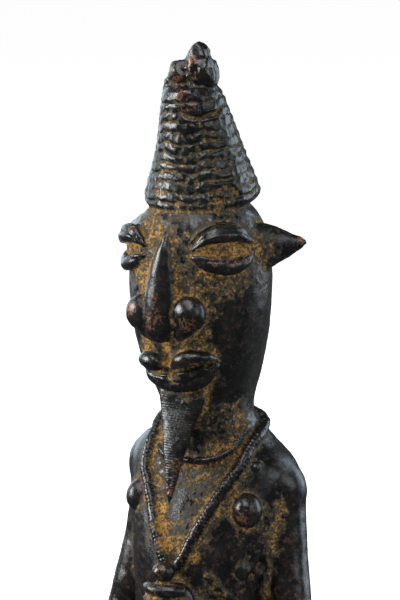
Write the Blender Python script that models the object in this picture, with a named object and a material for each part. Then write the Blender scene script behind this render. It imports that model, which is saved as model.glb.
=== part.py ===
"""Seated figure with a ribbed conical cap and a pointed beard, cast in one piece with its stool and base.

The figure faces -Y, +Z is up, and the origin is the centre of the base's underside.
"""

import math
from collections import namedtuple

import bmesh
import bpy
from mathutils import Matrix, Vector

# Driving dimensions, in metres
FIGURE_HEIGHT = 0.262
BASE_WIDTH = 0.078
BASE_DEPTH = 0.090
BASE_HEIGHT = 0.008
BASE_CORNER_RADIUS = 0.016
BASE_EDGE_ROUNDING = 0.0015
STOOL_SEAT_RADIUS = 0.027
STOOL_SEAT_THICKNESS = 0.006
STOOL_WAIST_RADIUS = 0.0165
STOOL_FOOT_RADIUS = 0.025
STOOL_FOOT_THICKNESS = 0.004
STOOL_EDGE_ROUNDING = 0.0015
STOOL_FLARE_SHARE = 0.25
STOOL_SINK = 0.001

# The figure's own forms are drawn in millimetres on a figure of this height, and scaled to FIGURE_HEIGHT.
# Drawn places are (x, y, z): x to its left, y back from the upright axis of its head, z up from its soles.
DRAWN_HEIGHT = 262.0
UNIT = FIGURE_HEIGHT / DRAWN_HEIGHT
HEAD_AXIS_Y = 5.0
STOOL_AXIS_Y = 10.0
SEAT_TOP_Z = 57.0
SOLE_SINK = 1.0

BRONZE_COLOUR = (0.055, 0.04, 0.028, 1.0)
BRONZE_ROUGHNESS = 0.38

Ring = namedtuple("Ring", "z y half_width front back")
Form = namedtuple("Form", "rings squareness roll")
Boss = namedtuple("Boss", "centre radii")

TORSO = (
    Ring(52, 9, 24.0, 20, 22),
    Ring(64, 9, 25.0, 21, 23),
    Ring(75, 8, 23.0, 21, 21),
    Ring(86, 6, 20.5, 20, 19),
    Ring(96, 5, 20.0, 20.5, 18.5),
    Ring(107, 5, 20.5, 21, 18.5),
    Ring(117, 5, 21.5, 20.5, 19),
    Ring(126, 6, 23.0, 19.5, 19),
    Ring(134, 7.5, 24.6, 18, 18),
    Ring(140, 9, 25.6, 17, 15.5),
    Ring(144, 9.2, 25.2, 15.6, 14.2),
    Ring(147.4, 9.2, 23.0, 13.8, 12.6),
    Ring(150, 9.4, 19.0, 12.4, 11.4),
    Ring(154, 8.4, 14.6, 10.8, 10.6),
    Ring(158.5, 6.8, 12.6, 9.0, 10.2),
)
HEAD = (
    Ring(142, 4, 15.0, 11.6, 13.0),
    Ring(148, 4, 13.4, 11.0, 13.6),
    Ring(153, 4, 12.5, 10.8, 14.0),
    Ring(159, 3.6, 12.5, 11.2, 16.0),
    Ring(163, 2.8, 12.9, 12.0, 18.8),
    Ring(168, 1.4, 14.9, 13.9, 22.0),
    Ring(176, 0, 17.1, 17.0, 23.8),
    Ring(184, 0, 19.0, 18.2, 22.8),
    Ring(192, 0, 19.9, 18.8, 21.0),
    Ring(200, 0, 20.2, 18.8, 20.2),
    Ring(207, 0, 19.5, 18.4, 18.8),
    Ring(213, 0, 17.0, 17.2, 15.2),
    Ring(219, 0, 13.4, 13.0, 12.0),
)
CAP = (
    Ring(215.5, 0.8, 14.9, 14.6, 15.2),
    Ring(218.3, 1.3, 16.1, 15.8, 16.6),
    Ring(221.6, 1.0, 15.6, 15.4, 15.6),
    Ring(226.3, 0.5, 13.8, 13.7, 13.0),
    Ring(231.5, -0.3, 12.1, 12.1, 12.1),
    Ring(237.5, -1.7, 10.6, 10.6, 10.6),
    Ring(243.0, -3.2, 9.3, 9.3, 9.3),
    Ring(247.4, -4.2, 8.3, 8.3, 8.3),
    Ring(250.5, -5.2, 6.4, 6.4, 6.4),
)
# How far a form's own middle line stands out of the surface, as a share of its radius
LID_PROUD = 0.6
LIP_PROUD = 0.35
CORD_PROUD = 0.4
BROW_RADIUS = 0.9

# The two sides aren't mirrored: the figure's right upper lid hangs lower, and below the collar its right
# half of each cord runs further round
RIGHT_LID_DROP = 1.0
RIGHT_CORD_SPREAD = 1.14
COLLAR_Z = 142.0

CAP_RIBS = 10
CAP_RIB_HEIGHT = 0.35
CAP_FORWARD_DIP = 0.1
CAP_ROLL = 0.015

KNOT = Boss((2.8, -5.4, 254.4), (3.9, 3.9, 7.6))
KNOT_LOBE = Boss((-2.2, -6.4, 253.2), (3.6, 3.2, 3.9))
KNOT_DISC = Boss((5.6, -5.0, 254.4), (2.0, 4.2, 4.7))
KNOT_DISC_LEAN_DEGREES = -14.0
NOSTRIL = Boss((7.4, -17.8, 188.8), (4.8, 4.1, 5.0))
NOSTRIL_SHIFT = -0.55
BREAST = Boss((17.2, -5.0, 132.6), (4.1, 4.4, 4.9))
BREAST_SHIFT = 0.8
STAFF_KNOB = Boss((0.2, -20.4, 116.4), (3.3, 3.3, 2.9))
STAFF_END = Boss((0, -20.4, 84.6), (2.6, 2.6, 2.0))
STAFF_RADIUS = 1.9

SHOULDER_Z = 139.9
SHOULDER_HALF_WIDTH = 25.0
HAND_Z = {-1: 92.4, 1: 106.6}
WRIST_DROP = 1.0
ARM_SHIFT = 0.8
PALM = Boss((3.4, -18.6, 0), (5.6, 4.2, 6.8))
FINGERS = 4
FINGER_PITCH = 3.5

WAIST_Y = 7.5
WAIST_Z = 79.0
WAIST_HALF_WIDTH = 22.5
WAIST_HALF_DEPTH = 20.5
WAIST_ROLL_RADIUS = 2.4
WAIST_TURNS = 18

# A hand-made figure isn't level: z gained for each millimetre towards the figure's left
SHOULDER_ROLL = -0.05
FACE_ROLL = 0.06
NOSE_LEAN_DEGREES = 4.2
NOSE_ROOT_X = -0.2

LARGE_SIDES = 22
CAP_SIDES = 18
FEATURE_SIDES = 12
LIMB_SIDES = 10
ARM_SIDES = 8
LID_SIDES = 8
FINE_SIDES = 6


def in_model():
    """From drawn millimetres to the model's metres."""
    foot = Matrix.Translation((0, HEAD_AXIS_Y * UNIT, BASE_HEIGHT))
    return foot @ Matrix.Scale(UNIT, 4)


def object_of(mesh, name, collection):
    obj = bpy.data.objects.new(name, mesh)
    collection.objects.link(obj)
    return obj


def finished(bm, name, collection, matrix=None):
    """An object from a drawn bmesh, in metres, with its faces pointing out."""
    bmesh.ops.recalc_face_normals(bm, faces=bm.faces)
    bm.transform(in_model() if matrix is None else matrix)
    mesh = bpy.data.meshes.new(name)
    bm.to_mesh(mesh)
    bm.free()
    return object_of(mesh, name, collection)


def catmull(before, start, end, after, t):
    """A smooth value between start and end, from the values around them."""
    return 0.5 * (
        2 * start
        + (end - before) * t
        + (2 * before - 5 * start + 4 * end - after) * t**2
        + (3 * start - before - 3 * end + after) * t**3
    )


def smoothed(rows, steps):
    """Rows of numbers with steps - 1 more rows, on a smooth curve, between each two."""
    dense = []
    for i in range(len(rows) - 1):
        around = [rows[max(0, min(len(rows) - 1, i + k))] for k in (-1, 0, 1, 2)]
        for step in range(steps):
            dense.append(tuple(catmull(*values, step / steps) for values in zip(*around)))
    dense.append(tuple(rows[-1]))
    return dense


def superellipse(angle, squareness):
    """A point of a unit superellipse in the direction of an angle."""
    across, along = math.cos(angle), math.sin(angle)
    reach = (abs(across) ** squareness + abs(along) ** squareness) ** (-1 / squareness)
    return across * reach, along * reach


def column(name, rings, sides, collection, squareness=2.0, dip=0.0, roll=0.0):
    """A cylinder cut at each ring's height, and each ring drawn to its widths.

    dip and roll are the z gained for each millimetre to the back and to the figure's left.
    """
    low, high = rings[0].z, rings[-1].z
    bm = bmesh.new()
    middle = Matrix.Translation((0, 0, (low + high) / 2))
    bmesh.ops.create_cone(
        bm, cap_ends=True, segments=sides, radius1=1, radius2=1, depth=high - low, matrix=middle
    )
    for ring in rings[1:-1]:
        geometry = bm.verts[:] + bm.edges[:] + bm.faces[:]
        bmesh.ops.bisect_plane(bm, geom=geometry, plane_co=(0, 0, ring.z), plane_no=(0, 0, 1))
    for vertex in bm.verts:
        ring = min(rings, key=lambda r: abs(r.z - vertex.co.z))
        across, along = superellipse(math.atan2(vertex.co.y, vertex.co.x), squareness)
        offset = along * (ring.back if along > 0 else ring.front)
        sideways = across * ring.half_width
        vertex.co = (sideways, ring.y + offset, ring.z + dip * offset + roll * sideways)
    return finished(bm, name, collection)


def rings_of(table, steps):
    return [Ring(*row) for row in smoothed(table, steps)]


def bar(name, points, sides, collection, steps=1, flatten=None):
    """A round bar along points (x, y, z, radius), closed at both ends. flatten squeezes its section."""
    curve = bpy.data.curves.new(name, "CURVE")
    curve.dimensions = "3D"
    curve.bevel_depth = 1.0
    curve.bevel_resolution = (sides - 4) // 2
    curve.use_fill_caps = True
    route = smoothed(points, steps) if steps > 1 else points
    spline = curve.splines.new("POLY")
    spline.points.add(len(route) - 1)
    for point, (x, y, z, radius) in zip(spline.points, route):
        point.co = (x, y, z, 1)
        point.radius = radius
    guide = object_of(curve, name + "_route", collection)
    graph = bpy.context.evaluated_depsgraph_get()
    mesh = bpy.data.meshes.new_from_object(guide.evaluated_get(graph))
    bpy.data.objects.remove(guide)
    bm = bmesh.new()
    bm.from_mesh(mesh)
    bpy.data.meshes.remove(mesh)
    bmesh.ops.remove_doubles(bm, verts=bm.verts, dist=1e-4)
    if flatten is not None:
        bm.transform(flatten)
    return finished(bm, name, collection)


def mound(name, boss, collection, sides=10, rows=6, turn=None):
    """A ball with its own half sizes, turned, at a drawn place."""
    bm = bmesh.new()
    bmesh.ops.create_uvsphere(bm, u_segments=sides, v_segments=rows, radius=1)
    size = Matrix.Diagonal((*boss.radii, 1))
    bm.transform(Matrix.Translation(boss.centre) @ (turn or Matrix.Identity(4)) @ size)
    return finished(bm, name, collection)


def mirrored(boss, side, shift=(0, 0, 0)):
    """A boss on one side of the figure: -1 is its right, 1 its left."""
    x, y, z = boss.centre
    return Boss((side * x + shift[0], y + shift[1], z + shift[2]), boss.radii)


def flattened_about(centre, share, axis):
    """Squeezes a form to a share of its size along one axis, about a point."""
    there = Matrix.Translation(centre)
    return there @ Matrix.Scale(share, 4, axis) @ there.inverted()


SKULL = Form(rings_of(HEAD, 4), 2.0, FACE_ROLL)
TRUNK = Form(rings_of(TORSO, 4), 2.2, SHOULDER_ROLL)


def on_surface(form, degrees, z, proud):
    """A point of a form's surface at an angle from straight ahead, towards the figure's left."""
    angle = math.radians(degrees)
    ring = min(form.rings, key=lambda r: abs(r.z - z))
    across, along = superellipse(angle - math.pi / 2, form.squareness)
    depth = ring.back if along > 0 else ring.front
    x = across * ring.half_width
    point = Vector((x, ring.y + along * depth, z + form.roll * x))
    outward = Vector((math.sin(angle), -math.cos(angle), 0))
    return point + outward * proud


def head(collection):
    column("skull", HEAD, LARGE_SIDES, collection, SKULL.squareness)


def cap(collection):
    """The conical cap: a coil of ribs, each a low round step."""
    low, high = CAP[0].z, CAP[-1].z
    steps = 2 * CAP_RIBS
    dense = rings_of(CAP, 12)
    rings = []
    for step in range(steps + 1):
        z = low + (high - low) * step / steps
        ring = min(dense, key=lambda r: abs(r.z - z))
        swell = CAP_RIB_HEIGHT * math.cos(math.pi * step) if 0 < step < steps else 0
        rings.append(Ring(z, ring.y, ring.half_width + swell, ring.front + swell, ring.back + swell))
    column("cap", rings, CAP_SIDES, collection, dip=CAP_FORWARD_DIP, roll=CAP_ROLL)


def cap_knot(collection):
    """The lump of left-over metal on the cap's point, with a disc at its side and a small strap."""
    mound("knot", KNOT, collection)
    mound("knot_lobe", KNOT_LOBE, collection, sides=8)
    lean = Matrix.Rotation(math.radians(KNOT_DISC_LEAN_DEGREES), 4, "Y")
    mound("knot_disc", KNOT_DISC, collection, turn=lean)
    strap = ((-7.4, -5.4, 243.6, 1.1), (-7.9, -5.8, 248.8, 1.3), (-4.8, -6.2, 252.6, 1.2))
    bar("knot_strap", strap, FINE_SIDES, collection)


def eye(side, collection):
    """A bean-like eye: a heavy upper lid and a lower lid, with a slit between them, under a thin rim."""
    lids = (
        ("upper_lid", 1.3, ((23, 206.8), (34, 209.4), (48, 210.4), (62, 209.8), (75, 207.6))),
        ("lower_lid", 1.3, ((23, 204.0), (36, 202.2), (51, 201.5), (65, 202.3), (77, 204.2))),
    )
    widths = (0.6, 1.6, 2.0, 1.7, 0.6)
    for name, stretch, stations in lids:
        points = []
        for (degrees, z), width in zip(stations, widths):
            lower = RIGHT_LID_DROP if side < 0 and name == "upper_lid" else 0.0
            place = on_surface(SKULL, side * degrees, z - lower, LID_PROUD * width + lower)
            points.append((*place, width))
        stretched = flattened_about(points[2][:3], stretch, Vector((0, 0, 1)))
        bar(f"{name}_{side}", points, LID_SIDES, collection, steps=2, flatten=stretched)
    brow = ((21, 208.6), (31, 212.4), (46, 214.2), (62, 213.8), (76, 210.6))
    rim = []
    for degrees, z in brow:
        place = on_surface(SKULL, side * degrees, z, CORD_PROUD * BROW_RADIUS)
        rim.append((*place, BROW_RADIUS))
    bar(f"brow_{side}", rim, FINE_SIDES, collection)


def nose(collection):
    """A long ridge, narrow between the eyes and broad at the tip, between two round nostril bosses."""
    rings = (
        Ring(181.0, -17.6, 2.8, 3.2, 2.0),
        Ring(184.0, -17.6, 4.4, 4.8, 2.0),
        Ring(191.0, -17.6, 5.2, 4.9, 2.0),
        Ring(198.0, -17.6, 4.6, 4.2, 2.0),
        Ring(205.0, -17.6, 2.8, 3.1, 2.0),
        Ring(211.2, -17.4, 1.0, 1.0, 1.4),
    )
    ridge = column("nose", rings, FEATURE_SIDES, collection, 1.6)
    root = in_model() @ Vector((0, rings[-1].y, rings[-1].z))
    lean = Matrix.Rotation(math.radians(NOSE_LEAN_DEGREES), 4, "Y")
    aside = Matrix.Translation((NOSE_ROOT_X * UNIT, 0, 0))
    ridge.data.transform(aside @ Matrix.Translation(root) @ lean @ Matrix.Translation(-root))
    for side in (-1, 1):
        shift = (NOSTRIL_SHIFT, 0, FACE_ROLL * side * NOSTRIL.centre[0])
        boss = mirrored(NOSTRIL, side, shift)
        mound(f"nostril_{side}", boss, collection)
        x, y, z = boss.centre
        tail = (
            (x - side * 0.4, y + 0.4, z - 1.8, 3.7),
            (x - side * 2.2, y + 0.3, z - 4.8, 2.7),
            (x - side * 4.0, y + 0.4, z - 7.2, 1.5),
        )
        bar(f"nostril_tail_{side}", tail, FINE_SIDES, collection)


def mouth(collection):
    """Thick lips that wrap round the face and rise at their corners."""
    lips = (
        ("upper_lip", ((44, 174.8, 0.7), (30, 175.8, 2.1), (13, 175.2, 2.6), (0, 174.0, 1.9))),
        ("lower_lip", ((44, 173.4, 0.7), (31, 170.1, 1.7), (15, 168.4, 2.0), (0, 168.0, 2.1))),
    )
    for name, half in lips:
        stations = [(-a, z, r) for a, z, r in half] + [(a, z, r) for a, z, r in reversed(half[:-1])]
        points = []
        for degrees, z, radius in stations:
            place = on_surface(SKULL, degrees, z, LIP_PROUD * radius)
            points.append((*place, radius))
        bar(name, points, LID_SIDES, collection, steps=2)


def beard(collection):
    """A flat-faced wedge that leaves the chin and stands clear of the chest at its tip."""
    rings = (
        Ring(134.6, -17.4, 0.5, 0.4, 0.5),
        Ring(140.0, -16.5, 1.5, 0.5, 1.8),
        Ring(145.2, -15.6, 2.4, 0.6, 2.8),
        Ring(154.8, -13.2, 4.4, 0.8, 4.8),
        Ring(161.5, -11.0, 6.2, 1.0, 7.0),
        Ring(167.0, -10.6, 6.8, 1.1, 7.8),
    )
    column("beard", rings, FEATURE_SIDES, collection, 2.4)


def ear(side, collection):
    """A pointed ear like a small horn, swept a little to the back."""
    points = (
        (side * 15.0, 0.0, 205.4, 7.5),
        (side * 19.5, 3.2, 206.0, 6.3),
        (side * 24.3, 6.8, 206.5, 3.8),
        (side * 28.0, 9.6, 207.1, 1.3),
    )
    outward = Vector((side * 13.0, 9.6, 0)).normalized()
    across = outward.cross(Vector((0, 0, 1)))
    thin = flattened_about(points[0][:3], 0.55, across)
    bar(f"ear_{side}", points, LIMB_SIDES, collection, steps=2, flatten=thin)


def torso(collection):
    """The trunk with its breast bosses and sloping shoulders."""
    column("trunk", TORSO, LARGE_SIDES, collection, TRUNK.squareness, roll=TRUNK.roll)
    for side in (-1, 1):
        mound(f"breast_{side}", mirrored(BREAST, side, (BREAST_SHIFT, 0, 0)), collection)


def necklace(collection):
    """A cord that loops behind the neck and runs down to the hands, and a shorter one close to the neck."""
    long_half = (
        (150, 155.6), (105, 154.4), (72, 152.4), (50, 149.4), (37, 145.8), (29, 141.4),
        (24, 136.8), (19, 131.4), (14, 125.8), (7, 119.0), (3, 116.4),
    )
    short_half = ((30, 145.8), (52, 147.6), (72, 150.6), (92, 154.0))
    cords = (
        ("long_cord", TRUNK, 1.3, (180, 156.0), long_half),
        ("short_cord", SKULL, 1.0, (0, 145.4), short_half),
    )
    for name, form, radius, middle, half in cords:
        spread_half = [(degrees * (RIGHT_CORD_SPREAD if z < COLLAR_Z else 1.0), z) for degrees, z in half]
        stations = [*((-degrees, z) for degrees, z in reversed(spread_half)), middle, *half]
        points = []
        for degrees, z in stations:
            place = on_surface(form, degrees, z, CORD_PROUD * radius)
            points.append((*place, radius))
        bar(name, points, FINE_SIDES, collection)


def arm(side, collection):
    """An arm held to the flank down to the elbow, and its forearm up to the fist."""
    shoulder_z = SHOULDER_Z + SHOULDER_ROLL * side * SHOULDER_HALF_WIDTH
    wrist_z = HAND_Z[side] - WRIST_DROP
    limb = (
        (side * 17.6 + ARM_SHIFT, 9.2, shoulder_z + 1.6, 4.8),
        (side * 21.2 + ARM_SHIFT, 9.4, shoulder_z - 0.7, 6.6),
        (side * 22.2 + ARM_SHIFT, 9.4, shoulder_z - 7.0, 6.5),
        (side * 22.9 + ARM_SHIFT, 8.2, 121.0, 6.2),
        (side * 25.6 + ARM_SHIFT, 5.4, 106.0, 5.8),
        (side * 28.2 + ARM_SHIFT, 3.4, 94.0, 5.6),
        (side * 27.8 + ARM_SHIFT, -1.4, 87.6, 5.3),
        (side * 22.0, -7.8, 0.5 * (wrist_z + 84.0), 4.8),
        (side * 14.0, -14.2, wrist_z - 4.5, 4.2),
        (side * 6.6, -18.4, wrist_z, 3.8),
    )
    bar(f"arm_{side}", limb, ARM_SIDES, collection, steps=2)


def fist(side, collection):
    """A closed hand: its back and four fingers wrapped round the staff."""
    z = HAND_Z[side]
    mound(f"palm_{side}", mirrored(PALM, side, (0, 0, z)), collection, sides=8)
    for number in range(FINGERS):
        height = z + FINGER_PITCH * (number - (FINGERS - 1) / 2)
        knuckles = (
            (side * 7.0, -20.4, height, 1.4),
            (side * 4.0, -22.8, height, 1.8),
            (side * -1.4, -23.4, height, 1.8),
            (side * -5.0, -21.2, height, 1.4),
        )
        bar(f"finger_{side}_{number}", knuckles, FINE_SIDES, collection)


def staff(collection):
    """The short staff in the fists, with a round knob above them."""
    ends = [(*boss.centre, STAFF_RADIUS) for boss in (STAFF_END, STAFF_KNOB)]
    bar("staff", ends, LID_SIDES, collection)
    mound("staff_knob", STAFF_KNOB, collection)
    mound("staff_end", STAFF_END, collection, sides=8)


def leg(side, collection):
    """A thigh along the seat, a shin down to the ankle, and a foot."""
    limb = (
        (side * 10.0, 8.0, 66.0, 10.6),
        (side * 13.5, -6.0, 66.4, 10.4),
        (side * 16.6, -19.0, 65.6, 9.2),
        (side * 18.0, -26.0, 60.6, 8.4),
        (side * 18.2, -27.6, 51.0, 7.6),
        (side * 17.8, -27.2, 36.0, 7.2),
        (side * 17.6, -26.4, 20.0, 5.8),
        (side * 17.6, -26.0, 3.0, 5.8),
    )
    bar(f"leg_{side}", limb, LIMB_SIDES, collection, steps=2)
    sole = (
        (side * 17.2, -20.0, 3.4, 4.6),
        (side * 17.8, -30.0, 3.6, 5.4),
        (side * 18.6, -38.0, 2.6, 5.8),
        (side * 18.8, -42.0, 1.6, 4.2),
    )
    low = flattened_about((0, 0, -SOLE_SINK), 0.62, Vector((0, 0, 1)))
    bar(f"foot_{side}", sole, LIMB_SIDES, collection, steps=2, flatten=low)


def waistcloth(collection):
    """A rolled wrapper round the hips, with its end hanging between the knees."""
    band = []
    for step in range(WAIST_TURNS + 2):
        angle = 2 * math.pi * step / WAIST_TURNS
        x = WAIST_HALF_WIDTH * math.sin(angle)
        y = WAIST_Y - WAIST_HALF_DEPTH * math.cos(angle)
        band.append((x, y, WAIST_Z, WAIST_ROLL_RADIUS))
    bar("wrapper_roll", band, FINE_SIDES, collection)
    rings = (
        Ring(44.0, -17.0, 6.2, 2.2, 8.0),
        Ring(56.0, -17.0, 7.0, 2.6, 9.0),
        Ring(68.0, -15.0, 9.0, 3.0, 10.0),
        Ring(78.0, -12.0, 10.0, 2.6, 10.0),
    )
    column("apron", rings, FEATURE_SIDES, collection, 2.6)


def stool(collection):
    """A round stool: a turned profile from its seat to its foot."""
    seat_z = SEAT_TOP_Z * UNIT
    foot_z = -STOOL_SINK
    seat_under = seat_z - STOOL_SEAT_THICKNESS
    flare_height = STOOL_FLARE_SHARE * (seat_under - STOOL_FOOT_THICKNESS)
    waist_top = seat_under - flare_height
    waist_low = STOOL_FOOT_THICKNESS + flare_height
    flare = STOOL_FLARE_SHARE * (STOOL_SEAT_RADIUS - STOOL_WAIST_RADIUS)
    profile = (
        (0, seat_z),
        (STOOL_SEAT_RADIUS - STOOL_EDGE_ROUNDING, seat_z),
        (STOOL_SEAT_RADIUS, seat_z - STOOL_EDGE_ROUNDING),
        (STOOL_SEAT_RADIUS, seat_under + STOOL_EDGE_ROUNDING),
        (STOOL_SEAT_RADIUS - STOOL_EDGE_ROUNDING, seat_under),
        (STOOL_WAIST_RADIUS + flare, seat_under),
        (STOOL_WAIST_RADIUS, waist_top),
        (STOOL_WAIST_RADIUS, waist_low),
        (STOOL_WAIST_RADIUS + flare, STOOL_FOOT_THICKNESS),
        (STOOL_FOOT_RADIUS - STOOL_EDGE_ROUNDING, STOOL_FOOT_THICKNESS),
        (STOOL_FOOT_RADIUS, STOOL_FOOT_THICKNESS - STOOL_EDGE_ROUNDING),
        (STOOL_FOOT_RADIUS, foot_z),
        (0, foot_z),
    )
    bm = bmesh.new()
    points = [bm.verts.new((radius, 0, z)) for radius, z in profile]
    for upper, lower in zip(points, points[1:]):
        bm.edges.new((upper, lower))
    bmesh.ops.spin(
        bm, geom=bm.verts[:] + bm.edges[:], axis=(0, 0, 1), cent=(0, 0, 0), steps=LARGE_SIDES,
        angle=2 * math.pi, use_merge=True,
    )
    bmesh.ops.remove_doubles(bm, verts=bm.verts, dist=1e-6)
    place = Matrix.Translation((0, (HEAD_AXIS_Y + STOOL_AXIS_Y) * UNIT, BASE_HEIGHT))
    finished(bm, "stool", collection, place)


def base(collection):
    """The flat base plate with rounded corners, under the soles and the stool's foot."""
    bm = bmesh.new()
    size = Matrix.Diagonal((BASE_WIDTH, BASE_DEPTH, BASE_HEIGHT, 1))
    bmesh.ops.create_cube(bm, size=1, matrix=Matrix.Translation((0, 0, BASE_HEIGHT / 2)) @ size)
    upright = [e for e in bm.edges if abs(e.verts[0].co.z - e.verts[1].co.z) > BASE_HEIGHT / 2]
    bmesh.ops.bevel(
        bm, geom=upright, offset=BASE_CORNER_RADIUS, segments=6, profile=0.5, affect="EDGES"
    )
    rim = [e for e in bm.edges if min(v.co.z for v in e.verts) > BASE_HEIGHT / 2]
    bmesh.ops.bevel(
        bm, geom=rim, offset=BASE_EDGE_ROUNDING, segments=2, profile=0.5, affect="EDGES"
    )
    return finished(bm, "seated_figure", collection, Matrix.Identity(4))


def bronze():
    material = bpy.data.materials.new("dark_bronze")
    material.use_nodes = True
    shader = material.node_tree.nodes["Principled BSDF"]
    shader.inputs["Base Color"].default_value = BRONZE_COLOUR
    shader.inputs["Roughness"].default_value = BRONZE_ROUGHNESS
    shader.inputs["Metallic"].default_value = 0.7
    return material


def main():
    for obj in list(bpy.data.objects):
        bpy.data.objects.remove(obj)
    whole = bpy.data.collections.new("bronze_seated_figure")
    forms = bpy.data.collections.new("cast_forms")
    for collection in (whole, forms):
        bpy.context.scene.collection.children.link(collection)
    head(forms)
    cap(forms)
    cap_knot(forms)
    nose(forms)
    mouth(forms)
    beard(forms)
    torso(forms)
    necklace(forms)
    staff(forms)
    waistcloth(forms)
    stool(forms)
    for side in (-1, 1):
        eye(side, forms)
        ear(side, forms)
        arm(side, forms)
        fist(side, forms)
        leg(side, forms)
    for form in forms.objects:
        form.hide_render = True
        form.display_type = "WIRE"
    figure = base(whole)
    figure.data.materials.append(bronze())
    cast = figure.modifiers.new("cast_in_one", "BOOLEAN")
    cast.operation = "UNION"
    cast.operand_type = "COLLECTION"
    cast.collection = forms
    cast.solver = "EXACT"


main()
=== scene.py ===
"""Bronze seated figure: its finished surface, its patina and a plain stage.

Forms are drawn in millimetres: x to the figure's left, y back from the upright axis of its head, z up from
its soles. Angles round the head, cap and trunk are in degrees from straight ahead, towards its left.
"""

import math
from collections import namedtuple

import bmesh
import bpy
import numpy as np
from mathutils import Matrix, Vector, noise


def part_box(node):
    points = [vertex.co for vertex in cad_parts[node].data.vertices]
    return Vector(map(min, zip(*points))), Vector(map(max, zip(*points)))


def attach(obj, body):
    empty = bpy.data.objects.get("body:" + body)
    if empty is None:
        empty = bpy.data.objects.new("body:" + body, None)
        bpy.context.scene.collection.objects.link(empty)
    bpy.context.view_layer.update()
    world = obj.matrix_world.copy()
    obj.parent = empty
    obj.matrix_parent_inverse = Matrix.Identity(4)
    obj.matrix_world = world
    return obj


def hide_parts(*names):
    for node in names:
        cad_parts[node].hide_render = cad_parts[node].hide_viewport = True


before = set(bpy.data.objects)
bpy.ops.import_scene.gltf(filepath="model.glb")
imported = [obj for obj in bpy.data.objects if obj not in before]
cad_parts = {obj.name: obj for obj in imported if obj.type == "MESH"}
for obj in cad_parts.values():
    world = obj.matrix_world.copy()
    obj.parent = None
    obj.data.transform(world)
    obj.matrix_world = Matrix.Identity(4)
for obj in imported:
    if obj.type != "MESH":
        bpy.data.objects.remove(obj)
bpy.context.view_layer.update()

bl_info = {
    "name": "Bronze Seated Figure",
    "version": (1, 0, 0),
    "blender": (4, 5, 0),
    "location": "View3D > Sidebar > Bronze Figure",
    "description": "Models the cast bronze figure round its packed solid, and sets a plain stage for it",
    "category": "Add Mesh",
}

NODE = "seated_figure"
PIECE = "bronze_figure"
LOW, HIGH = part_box(NODE)

DRAWN_HEIGHT = 262.0
DRAWN_BASE_HEIGHT = 8.0
HEAD_AXIS_Y = 5.0
UNIT = (HIGH.z - LOW.z) / (DRAWN_HEIGHT + DRAWN_BASE_HEIGHT)
TINY = UNIT * 1e-3
DRAWN_ORIGIN = Vector((0, HEAD_AXIS_Y, DRAWN_BASE_HEIGHT))

Ring = namedtuple("Ring", "z y half_width front back")
Form = namedtuple("Form", "rings squareness roll")
Boss = namedtuple("Boss", "centre radii")
Cord = namedtuple("Cord", "name form radius half lays")
Patch = namedtuple("Patch", "place reach strength")


def rings_of(*rows):
    """Rings from rows of z, y, half width, front and back."""
    return tuple(Ring(*row) for row in rows)


TORSO = rings_of(
    (52, 9, 24.0, 20, 22), (64, 9, 25.0, 21, 23), (75, 8, 23.0, 21, 21), (86, 6, 20.5, 20, 19),
    (96, 5, 20.0, 20.5, 18.5), (107, 5, 20.5, 21, 18.5), (117, 5, 21.5, 20.5, 19), (126, 6, 23.0, 19.5, 19),
    (134, 7.5, 24.6, 18, 18), (140, 9, 25.6, 17, 15.5), (144, 9.2, 25.2, 15.6, 14.2),
    (147.4, 9.2, 22.2, 13.6, 12.6), (150, 9.4, 17.6, 12.2, 11.4), (154, 8.4, 14.6, 10.8, 10.6),
    (158.5, 6.8, 12.6, 9.0, 10.2),
)
HEAD = rings_of(
    (142, 4, 15.0, 11.6, 13.0), (148, 4, 13.4, 11.0, 13.6), (153, 4, 12.5, 10.8, 14.0),
    (159, 3.6, 12.5, 11.2, 16.0), (163, 2.8, 12.9, 12.0, 18.8), (168, 1.4, 14.9, 13.9, 22.0),
    (176, 0, 17.1, 17.0, 23.8), (184, 0, 19.0, 18.2, 22.8), (192, 0, 19.9, 18.8, 21.0),
    (200, 0, 20.2, 18.8, 20.2), (207, 0, 19.5, 18.4, 18.8), (213, 0, 17.0, 17.2, 15.2),
    (219, 0, 13.4, 13.0, 12.0),
)
CAP = rings_of(
    (215.5, 0.8, 14.9, 14.6, 15.2), (218.3, 1.3, 16.1, 15.8, 16.6), (221.6, 1.0, 15.6, 15.4, 15.6),
    (226.3, 0.5, 13.8, 13.7, 13.0), (231.5, -0.3, 12.1, 12.1, 12.1), (237.5, -1.7, 10.6, 10.6, 10.6),
    (243.0, -3.2, 9.3, 9.3, 9.3), (247.4, -4.2, 8.3, 8.3, 8.3), (250.5, -5.2, 6.4, 6.4, 6.4),
)
SHOULDER_ROLL = -0.05
FACE_ROLL = 0.06
CAP_FORWARD_DIP = 0.1
CAP_ROLL = 0.015
SKULL = Form(HEAD, 2.0, FACE_ROLL)
TRUNK = Form(TORSO, 2.2, SHOULDER_ROLL)
CONE = Form(CAP, 2.0, CAP_ROLL)


def place(x, y, z):
    """A drawn place in the model, in metres."""
    return (Vector((x, y, z)) + DRAWN_ORIGIN) * UNIT


def ring_at(form, z):
    """A form's ring at any height, between the rings it is drawn with."""
    heights = [ring.z for ring in form.rings]
    return Ring(z, *(float(np.interp(z, heights, values)) for values in list(zip(*form.rings))[1:]))


def superellipse(angle, squareness):
    """A point of a unit superellipse in the direction of an angle."""
    across, along = math.cos(angle), math.sin(angle)
    reach = (abs(across) ** squareness + abs(along) ** squareness) ** (-1 / squareness)
    return across * reach, along * reach


def on_surface(form, degrees, z, proud=0.0):
    """A drawn place on a form's surface, or proud of it."""
    angle = math.radians(degrees)
    ring = ring_at(form, z)
    across, along = superellipse(angle - math.pi / 2, form.squareness)
    x = across * ring.half_width
    y = ring.y + along * (ring.back if along > 0 else ring.front)
    return Vector((x + math.sin(angle) * proud, y - math.cos(angle) * proud, z + form.roll * x))


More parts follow.
